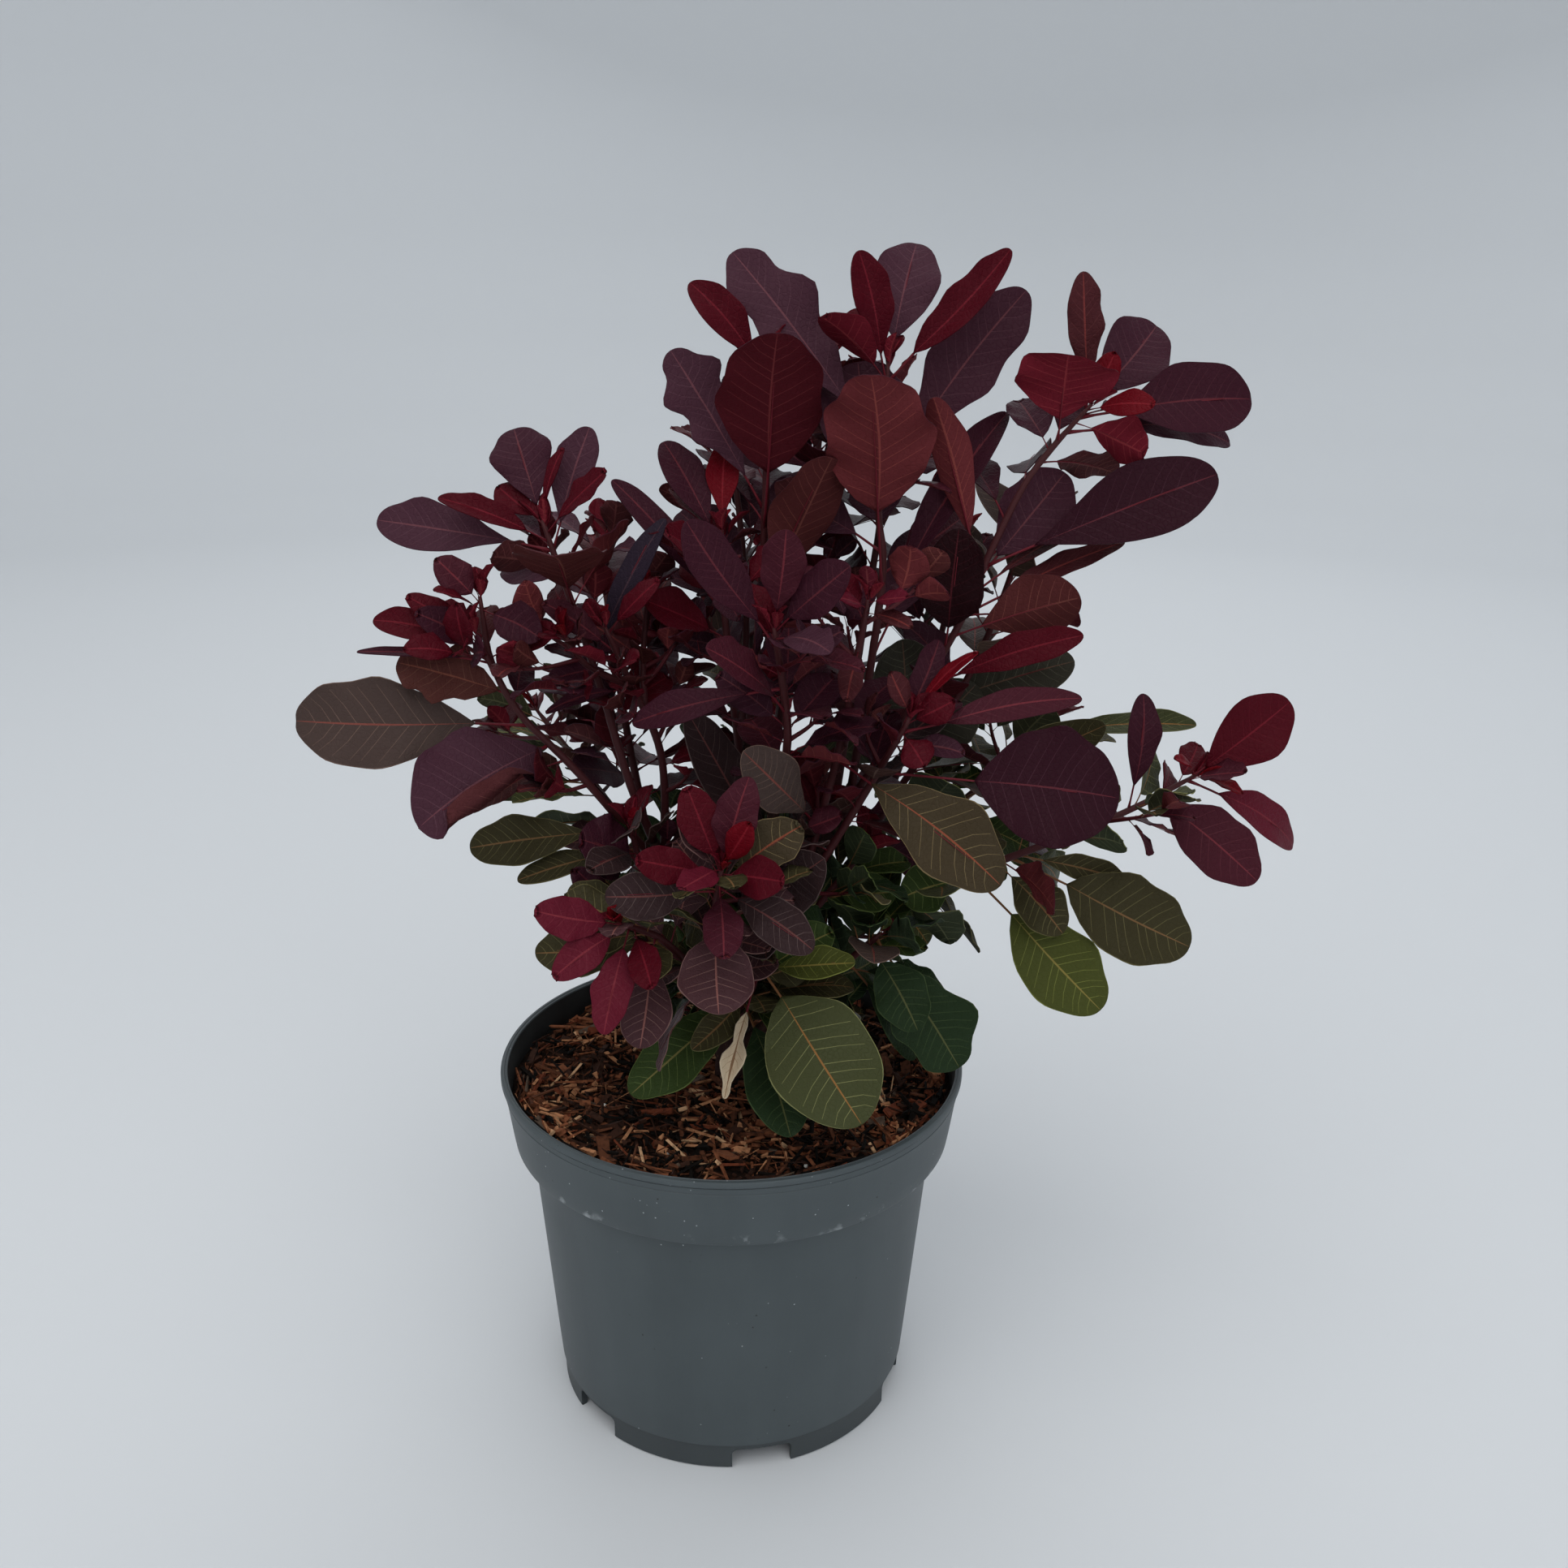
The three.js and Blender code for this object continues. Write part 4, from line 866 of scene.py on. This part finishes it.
def stitch(faces, rowA, rowB):
    i = j = 0
    while i < len(rowA) - 1 or j < len(rowB) - 1:
        aBehind = (i + 1) * (len(rowB) - 1) <= (j + 1) * (len(rowA) - 1)
        if j == len(rowB) - 1 or (i < len(rowA) - 1 and aBehind):
            faces.append((rowA[i], rowB[j], rowA[i + 1]))
            i += 1
        else:
            faces.append((rowA[i], rowB[j], rowB[j + 1]))
            j += 1


class Guard:
    # the plain shell of a piece, used only to keep pieces clear of each other
    def __init__(self, owner, points, faces, rootCorners=0):
        self.owner = owner
        self.points = points
        self.low = [min(p[k] for p in points) for k in range(3)]
        self.high = [max(p[k] for p in points) for k in range(3)]
        self.whole = BVHTree.FromPolygons(points, faces)
        blade = [face for face in faces if min(face) >= rootCorners]
        self.blade = BVHTree.FromPolygons(points, blade) if rootCorners else self.whole

    def meets(self, other):
        a, b, c, d = self.low, self.high, other.low, other.high
        if a[0] > d[0] or b[0] < c[0] or a[1] > d[1] or b[1] < c[1] or a[2] > d[2] or b[2] < c[2]:
            return False
        if self.owner == other.owner:
            return bool(self.blade.overlap(other.blade))
        return bool(self.whole.overlap(other.whole))

    def inBounds(self):
        return all(abs(corner[k] - crown["centre"][k]) < crown["reach"][k]
                   for corner in (self.low, self.high) for k in range(3))

    def abovePot(self):
        reach = pot["bodyTopRadius"]
        return all(p.z > crown["rimClear" if math.hypot(p.x, p.y) > reach else "lowest"] for p in self.points)


def leafGuard(owner, blade):
    shape = leafShape
    points = []

    def put(share, across, lift):
        points.append(blade.spot(share, across, lift))
        return len(points) - 1

    half = shape["stalkHalf"] + shape["clear"] / 2
    keel = -shape["stalkDepth"] - shape["clear"] / 2
    neck = shape["stalkShare"]
    base, throat = ([put(at, -half, 0), put(at, 0, keel), put(at, half, 0)] for at in (0, neck))
    topRows, underRows = [[base[0], base[2]], [throat[0], throat[2]]], [base, throat]
    lift = (shape["thick"] + shape["clear"]) / 2
    for share, spread in next(rows for limit, rows in shape["outlines"] if blade.reach < limit):
        at = mix(neck, 1, share)
        right = put(at, -spread * (blade.width + shape["clear"]), 0)
        left = put(at, spread * (blade.width + shape["clear"]), 0)
        topRows.append([right, put(at, 0, lift), left])
        underRows.append([right, put(at, 0, -lift), left])
    end = [put(1, 0, 0)]
    faces = [(base[0], base[2], base[1])]
    for rows in (topRows, underRows):
        for before, after in zip(rows, rows[1:] + [end]):
            stitch(faces, before, after)
    return Guard(owner, points, faces, 3)


def limbGuard(owner, route, shape, scale=1):
    points, faces = [], []
    sides, steps = shape["sides"], shape["steps"]
    for k, (centre, side, over) in enumerate(ringFrames(route, steps)):
        size = mix(shape["foot"] * scale, shape["tip"] * scale, k / steps)
        points += [centre + (side * cos(2 * pi * n / sides) + over * sin(2 * pi * n / sides)) * size
                   for n in range(sides)]
    for k in range(steps):
        for n in range(sides):
            m = (n + 1) % sides
            faces.append((k * sides + n, k * sides + m, (k + 1) * sides + m, (k + 1) * sides + n))
    faces += [tuple(range(sides)), tuple(range(steps * sides, (steps + 1) * sides))]
    return Guard(owner, points, faces)


stumpRoute = Route(stump["route"])
placed = [limbGuard("stump", stumpRoute, stump)]
boughCurves = {}
for name, (share, *route) in boughs.items():
    foot = stumpRoute.at(share)
    collar = Vector(route[0]) - foot
    collar.z = 0
    collar = foot + collar.normalized() * boughShape["collarOut"] + up * boughShape["collarRise"]
    boughCurves[name] = Route([foot, collar, *route])
    placed.append(limbGuard(f"bough_{name}", boughCurves[name], boughShape))
for name, shoot in shoots.items():
    bough, share = shoot["on"]
    start = boughCurves[bough].at(share)
    if share == 1:
        start += boughCurves[bough].heading(1) * shootShape["heel"]
    main = Route([start, *shoot["route"]])
    shoot["curves"] = [main] + [Route([main.at(at), *route]) for at, route in shoot.get("side", [])]
    shoot["name"], shoot["grown"] = name, []
    for k, curve in enumerate(shoot["curves"]):
        placed.append(limbGuard(name, curve, shootShape, shootShape["sideScale"] if k else 1))


def growLeaf(shoot, curve, share, tip, width, turn, twist, bounded, look):
    root, heading = curve.at(share), curve.heading(share)
    for swing in leafShape["swings"]:
        blade = Blade(root, tip + Vector((0, swing, 0)), heading, turn, twist, width)
        guard = leafGuard(shoot["name"], blade)
        if not guard.abovePot() or (bounded and not guard.inBounds()):
            continue
        if not any(guard.meets(other) for other in placed):
            placed.append(guard)
            shoot["grown"].append((blade, look))
            return


def growByRule(shoot, count, size, start, arc, seed, wide=1, pickSeed=200):
    roll, pick = dice(seed), dice(seed + pickSeed)
    for k in range(count):
        curve = shoot["curves"][k % len(shoot["curves"])]
        share = mix(start, 1, (k + roll() * 0.6) / count)
        bearing = math.radians(mix(*arc, (k * rule["spiral"] + roll() * 0.15) % 1))
        opening = math.radians(mix(*rule["open"], share) + roll() * rule["openSpread"])
        least, spread = rule["sizeSpread"]
        reach = size * mix(*rule["size"], share) * (least + spread * roll())
        width = reach * (rule["slimmest"] + rule["slimSpread"] * roll())
        twist = math.radians(rule["twist"] * (roll() * 2 - 1))
        heading = curve.heading(share)
        away = outward(bearing, 0, heading)
        tip = curve.at(share) + heading * (reach * cos(opening)) + away * (reach * sin(opening))
        fresh = share > rule["freshFrom"] and tip.z > rule["freshAbove"] and pick() < 0.5
        tone = "crimson" if fresh else oneOf(shoot["tones"].split(), pick)
        growLeaf(shoot, curve, share, tip, width * wide, 0, twist, True, {"tone": tone})


for shoot in shoots.values():
    for share, tip, width, turn, tone, *options in shoot.get("marked", []):
        look = {"tone": tone, **(options[0] if options else {})}
        growLeaf(shoot, shoot["curves"][0], share, Vector(tip), width, turn, 0, False, look)
for shoot in shoots.values():
    count, size, start, *arc = shoot["rule"]
    growByRule(shoot, count, size, start, arc, shoot["seed"])
print("leaves placed:", sum(len(shoot["grown"]) for shoot in shoots.values()))


# finer growth, which the solids leave out: more leaves low down and behind, sprays of small ones, young tips

filler = {"leaves": 12, "size": 0.78, "wide": 1.18, "from": 0.05, "below": 345, "seed": 600}
spray = {"foot": 0.9, "tip": 0.6, "sides": 3, "steps": 3, "twig": (13, 25), "leaves": (4, 6),
         "size": (15, 29), "seed": 300, "tries": 5, "onBough": 8, "boughSeed": 600, "greenBelow": 240,
         "turn": 2.4, "low": ("green", "darkGreen", "olive"),
         "high": ("plum", "smoky", "wine", "umber", "olive")}
young = {"leaves": 4, "size": (7, 13), "seed": 400, "highest": 462, "greenBelow": 235,
         "high": ("crimson", "bright", "crimson"), "low": ("fresh", "moss", "rose")}
twigs = []


def growSpray(shoot, curve, share, roll, host, palette):
    heading = curve.heading(share)
    root = curve.at(share)
    others = [other for other in placed if other.owner != host or other.blade is not other.whole]
    for _ in range(spray["tries"]):
        bearing = roll() * 2 * pi
        away = outward(bearing, 0.2, heading)
        tip = root + (heading * 0.75 + away).normalized() * mix(*spray["twig"], roll())
        side = Route([root, root.lerp(tip, 0.5) + away * 1.5, tip])
        guard = limbGuard(f"{host}_spray", side, spray)
        if guard.abovePot() and not any(guard.meets(other) for other in others):
            break
    else:
        return
    twigs.append(side)
    count = round(mix(*spray["leaves"], roll()))
    for k in range(count):
        at = mix(0.35, 1, (k + 1) / count)
        ahead = side.heading(at)
        away = outward(bearing + k * spray["turn"] + roll(), 0.3, ahead)
        reach = mix(*spray["size"], roll()) * mix(1, 0.75, at)
        end = side.at(at) + (ahead * mix(0.5, 1.2, at) + away).normalized() * reach
        look = {"tone": oneOf(palette, roll), "fold": 0.3}
        growLeaf(shoot, side, at, end, reach * mix(0.48, 0.66, roll()), 0, (roll() - 0.5) * 1.4, True, look)


def growYoungTip(shoot, curve, roll, palette):  # folded and half open
    ahead, end = curve.heading(1), curve.at(1)
    for k in range(young["leaves"]):
        away = outward(k * spray["turn"] + roll(), 0, ahead)
        reach = mix(*young["size"], roll())
        tip = end + (ahead * 1.6 + away).normalized() * reach
        blade = Blade(curve.at(1 - 0.012 * k), tip, ahead, 0, roll() - 0.5, reach * 0.42)
        if blade.spot(1, 0, 0).z < young["highest"]:
            shoot["grown"].append((blade, {"tone": oneOf(palette, roll), "fold": 0.8}))


for shoot in shoots.values():
    if shoot["route"][-1][2] < filler["below"] or "marked" not in shoot:
        growByRule(shoot, filler["leaves"], shoot["rule"][1] * filler["size"], filler["from"], (0, 360),
                   shoot["seed"] + filler["seed"], filler["wide"], 1)
    roll = dice(shoot["seed"] + spray["seed"])
    for k in range(shoot["sprays"]):
        curve = shoot["curves"][k % len(shoot["curves"])]
        share = mix(0.2, 0.9, (k + roll()) / shoot["sprays"])
        growSpray(shoot, curve, share, roll, shoot["name"], shoot["tones"].split())
    roll = dice(shoot["seed"] + young["seed"])
    low = shoot["curves"][0].at(1).z <= young["greenBelow"]
    for curve in shoot["curves"]:
        growYoungTip(shoot, curve, roll, young["low" if low else "high"])
for name, curve in boughCurves.items():
    shoot = next(shoot for shoot in shoots.values() if shoot["on"][0] == name)
    roll = dice(shoot["seed"] + spray["boughSeed"])
    for k in range(spray["onBough"]):
        share = mix(0.4, 0.97, (k + roll()) / spray["onBough"])
        low = curve.at(share).z < spray["greenBelow"]
        growSpray(shoot, curve, share, roll, f"bough_{name}", spray["low" if low else "high"])
print("with finer growth:", sum(len(shoot["grown"]) for shoot in shoots.values()))


# leaf blades: a grid whose rows follow the side veins, given its sheet's thickness last

bladeShape = {
    "pairs": [(24, 4), (36, 6), (52, 8), (1e9, 10)],  # reach below which it holds, then the pairs of veins
    "firstVein": 0.1, "veinRun": 0.77, "lean": 0.19, "bend": 1.1, "shift": 0.3, "groove": 0.017,
    "rib": 0.34, "vein": 0.15, "margin": 0.3, "sheet": 0.36, "inset": 0.4,
    "full": (1.0, 1.4), "waves": (1.5, 3.2), "ripple": (0.02, 0.07), "lobed": (0.02, 0.065),
    "folded": (0.1, 0.3), "curl": 0.2, "bow": 0.12, "wring": 0.5, "blunt": (0.74, 0.5), "roll": 2.6,
    "seed": 500,
}


def bladeRows(gap, pairs, phase):
    # each row is (middle, half step): a vein is the narrow strip between a pair of rows
    rows, strips = [(0, 0), (0.035, 0)], set()
    for k in range(pairs):
        at = bladeShape["firstVein"] + gap * (k + 0.17 * sin(phase + 2.3 * k) * (0 < k < pairs - 1))
        strips.add(len(rows))
        rows += [(at, -1), (at, 1), (at + gap / 2, 0)]
    return rows + [(0.945, 0), (0.98, 0), (1, 0)], strips


def addLeaf(bm, blade, look, first, roll):
    shape = bladeShape
    pairs = next(pairs for limit, pairs in shape["pairs"] if blade.reach < limit)
    small = blade.reach < shape["pairs"][0][0]
    stalk = look.get("stalk", leafShape["stalkShare"])
    half, length = blade.width / 2, blade.reach * (1 - stalk)
    edge, rib = shape["margin"] / half, shape["rib"] / half
    flank = [0.5, 1] if small else [0.42, 0.84, 1 - edge, 1]
    columns = [-part for part in flank[::-1]] + [-rib, rib] + flank
    # its own habit, which the marked leaves' options overrule
    fullest = look.get("full", mix(*shape["full"], roll()))
    phases = [roll() * 2 * pi, roll() * 2 * pi]
    gap = shape["veinRun"] / (pairs - 1)
    rows, strips = bladeRows(gap, pairs, phases[0])
    across, along = len(columns) - 1, len(rows) - 1
    waves = mix(*shape["waves"], roll())
    ripple = blade.width * mix(*shape["ripple"], roll())
    curl = (roll() - 0.6) * shape["curl"] * length
    bow = (roll() - 0.5) * shape["bow"]
    wring = (roll() - 0.5) * shape["wring"]
    fold = look.get("fold", mix(*shape["folded"], roll())) - leafShape["fold"]
    lobes = look.get("lobed", mix(*shape["lobed"], roll()))
    dent = blade.width * 0.02 * (roll() < 0.3) * (blade.width > 20)
    grid = bmesh.ops.create_grid(bm, x_segments=across, y_segments=along, size=0.5)["verts"]
    for vert in grid:
        v = columns[round((vert.co.x + 0.5) * across)]
        middle, step = rows[round((vert.co.y + 0.5) * along)]
        # the veins of one flank start further on, and all lean towards the tip
        s = middle + step * shape["vein"] / length * (1 - 0.6 * abs(v))
        s += shape["shift"] * gap * sin(pi * middle) * (v < 0)
        u = s + shape["lean"] * abs(v) ** shape["bend"] * min(max(sin(pi * s), 0) ** 0.7, 4 * (1 - s))
        q = u ** fullest
        swell = sin(2 * pi * waves * u + phases[v >= 0])
        outline = max(sin(pi * min(q, 1)), 0) ** mix(*shape["blunt"], q)
        outline *= 1 + lobes * swell * smooth(0.05, 0.4, u) * (1 - smooth(0.8, 1, u))
        x = v * half * outline
        z = fold * abs(x)
        z += ripple * abs(v) ** 2.2 * swell * smooth(0.05, 0.3, u) * (1 - smooth(0.8, 0.97, u))
        if step == 0 and 0.05 < s < 0.95:
            z += shape["groove"] * blade.width * (1 - abs(v)) * (abs(v) > rib * 1.1)
        z += curl * u ** 3 + x * wring * u
        flap = v * look.get("rolled", 0)
        if flap > 0.5:
            turn = smooth(0.5, 0.95, flap) * smooth(0.1, 0.35, u) * (1 - smooth(0.75, 1, u)) * shape["roll"]
            out = abs(x) - 0.5 * half * outline
            x = (0.5 * half * outline + out * cos(turn)) * look["rolled"]
            z += out * sin(turn) + 0.4 * smooth(0.5, 0.7, flap)
        share = mix(stalk, 1, u) - dent / blade.reach * (1 - abs(v)) ** 3 * smooth(0.94, 1, u)
        spot = blade.spot(share, x, z) + blade.side * (bow * length * sin(pi * u) * 0.5)
        vert.co = [clamp(c * mm, low + shape["inset"] * mm, high - shape["inset"] * mm)
                   for c, low, high in zip(spot, *cadBox)]
    # rows and columns are read back from the grid's own order
    faces = sorted(facesOf(grid), key=lambda face: face.index)
    for n, face in enumerate(faces):
        row, column = divmod(n, across)
        inward = min(column, across - 1 - column)
        isEdge = tones[look["tone"]][5] and not small and inward == 0
        isVein = row in strips and (small or inward > 1)
        face.material_index = first + (2 if column == across // 2 else 1 if isVein or isEdge else 0)
        face.smooth = True
    bmesh.ops.reverse_faces(bm, faces=faces)
    bmesh.ops.remove_doubles(bm, verts=grid, dist=4e-6)


def leafPaint(name, colour, roughness, gloss):
    paint = Paint(name)
    fine = paint.mottle(700, 3)
    height = paint.ramp(paint.cells(520, feature="DISTANCE_TO_EDGE"), 0.0, 0.12) * 0.6 + fine * 0.4
    return paint.finish(Base_Color=linear(*colour), Roughness=roughness + fine * 0.12,
                        Normal=paint.bump(height, 0.0004, 0.5), Specular_IOR_Level=gloss)


paints = {}
for name, (face, vein, rib, under, underVein, pale) in tones.items():
    vein = [mix(low, high, 1 if pale else 0.75) for low, high in zip(face, vein)]
    kinds = {"face": (face, 0.38, 0.06), "vein": (vein, 0.44, 0.08), "rib": (rib, 0.44, 0.08),
             "under": (under, 0.62, 0.05), "underVein": (underVein, 0.62, 0.05)}
    paints[name] = [leafPaint(f"{name}_{kind}", *finish) for kind, finish in kinds.items()]


def makeLeaves(shoot):
    used = sorted({look["tone"] for _, look in shoot["grown"]}, key=list(tones).index)
    bm = bmesh.new()
    roll = dice(shoot["seed"] + bladeShape["seed"])
    for blade, look in shoot["grown"]:
        bm.faces.index_update()
        addLeaf(bm, blade, look, 3 * used.index(look["tone"]), roll)
    materials = [paints[tone][k] for kinds in ((0, 1, 2), (3, 4, 4)) for tone in used for k in kinds]
    piece = pieceFrom(bm, f"leaves_{shoot['name']}", materials, [f"foliage_{shoot['name']}"])
    sheet = piece.modifiers.new("sheet", "SOLIDIFY")
    sheet.thickness = bladeShape["sheet"] * mm
    sheet.offset = -1
    sheet.material_offset = 3 * len(used)
    sheet.material_offset_rim = 0


for shoot in shoots.values():
    makeLeaves(shoot)
print("leaf blades made")


# stems: round limbs with bark relief, shoots, twigs and leaf stalks

bark = {
    "old": linear(64, 40, 34), "dark": linear(38, 20, 19), "pale": linear(92, 68, 56),
    "stems": {"youngBark": linear(62, 21, 24), "twigBark": linear(74, 20, 27), "redStalk": linear(98, 21, 33),
              "greenStalk": linear(116, 76, 46)},
    "greenTones": ("green", "darkGreen", "fresh", "sage", "olive"),
    "stumpSlim": 0.9, "boughSlim": 0.8, "shootSlim": 0.76, "shootTaper": 0.35, "twigFoot": 1.0,
    "twigTip": 0.6, "boughRing": 1.4, "shootRing": 4,
}


def barkRelief(spot, share):
    ridge = noise.noise(Vector((spot.x * 1.1, spot.y * 1.1, spot.z * 0.12))) * 0.28
    return ridge + max(noise.noise(spot * 0.5) - 0.35, 0) * 1.6


def shootRelief(spot, share):
    return noise.noise(spot * 0.35) * 0.18


def shootRadius(share):
    size = mix(shootShape["foot"], shootShape["tip"], share) * bark["shootSlim"]
    return size * (1 - bark["shootTaper"] * smooth(0.9, 1, share))


def oldBark():
    paint = Paint("oldBark")
    streak = paint.mottle(260, 5, (1, 1, 0.22))
    colour = paint.blend(paint.ramp(streak, 0.35, 0.7), bark["dark"], bark["old"])
    colour = paint.blend(paint.ramp(paint.mottle(520, 2), 0.66, 0.72), colour, bark["pale"])
    return paint.finish(Base_Color=colour, Roughness=0.7 + streak * 0.2, Specular_IOR_Level=0.2,
                        Normal=paint.bump(streak, 0.0008, 0.7))


def stemPaint(name, colour):
    paint = Paint(name)
    grain = paint.mottle(600, 3, (1, 1, 0.3))
    return paint.finish(Base_Color=colour, Roughness=0.5 + grain * 0.15, Specular_IOR_Level=0.22,
                        Normal=paint.bump(grain, 0.0003, 0.5))


def makeBark():
    bm = bmesh.new()
    wrapTube(bm, stumpRoute, lambda s: mix(stump["foot"], stump["tip"], s) * bark["stumpSlim"], 28, 40, 0,
             barkRelief)
    for curve in boughCurves.values():
        rings = max(int(curve.run[-1] / bark["boughRing"]), 8)
        wrapTube(bm, curve, lambda s: mix(boughShape["foot"], boughShape["tip"], s) * bark["boughSlim"], 16,
                 rings, 0, barkRelief)
    piece = pieceFrom(bm, "bark", [oldBark()], ["main_stem"] + [f"bough_{name}" for name in boughs])


def addStalk(bm, blade, look):
    # it runs on under the blade as its midrib, and thins out
    size = clamp(blade.reach / 60, 0.35, 1)
    stalk = look.get("stalk", leafShape["stalkShare"])
    shares = (0, stalk / 2, stalk, mix(stalk, 1, 0.25), mix(stalk, 1, 0.5), 0.82)
    route = Route([blade.spot(share, 0, -leafShape["stalkHalf"] * size) for share in shares])
    sides, rings = (4, 6) if blade.reach < 30 else (5, 9)
    wrapTube(bm, route, lambda s: size * (0.95 - 0.45 * smooth(0, 0.12, s) - 0.35 * smooth(0.2, 1, s)),
             sides, rings, 3 if look["tone"] in bark["greenTones"] else 2)


def makeTwigs():
    bm, part = bmesh.new(), bmesh.new()
    for shoot in shoots.values():
        for k, curve in enumerate(shoot["curves"]):
            scale = shootShape["sideScale"] if k else 1
            rings = max(int(curve.run[-1] / bark["shootRing"]), 8)
            wrapTube(part, curve, lambda s: shootRadius(s) * scale, 10, rings, 0, shootRelief)
    for k, route in enumerate(twigs):
        if k % 40 == 0:
            part = gather(bm, part)
        wrapTube(part, route, lambda s: mix(bark["twigFoot"], bark["twigTip"], s), 6, 6, 1)
    for shoot in shoots.values():
        part = gather(bm, part)
        for blade, look in shoot["grown"]:
            addStalk(part, blade, look)
    gather(bm, part).free()
    piece = pieceFrom(bm, "twigs", [stemPaint(name, colour) for name, colour in bark["stems"].items()])


makeBark()
makeTwigs()
print("stems made")
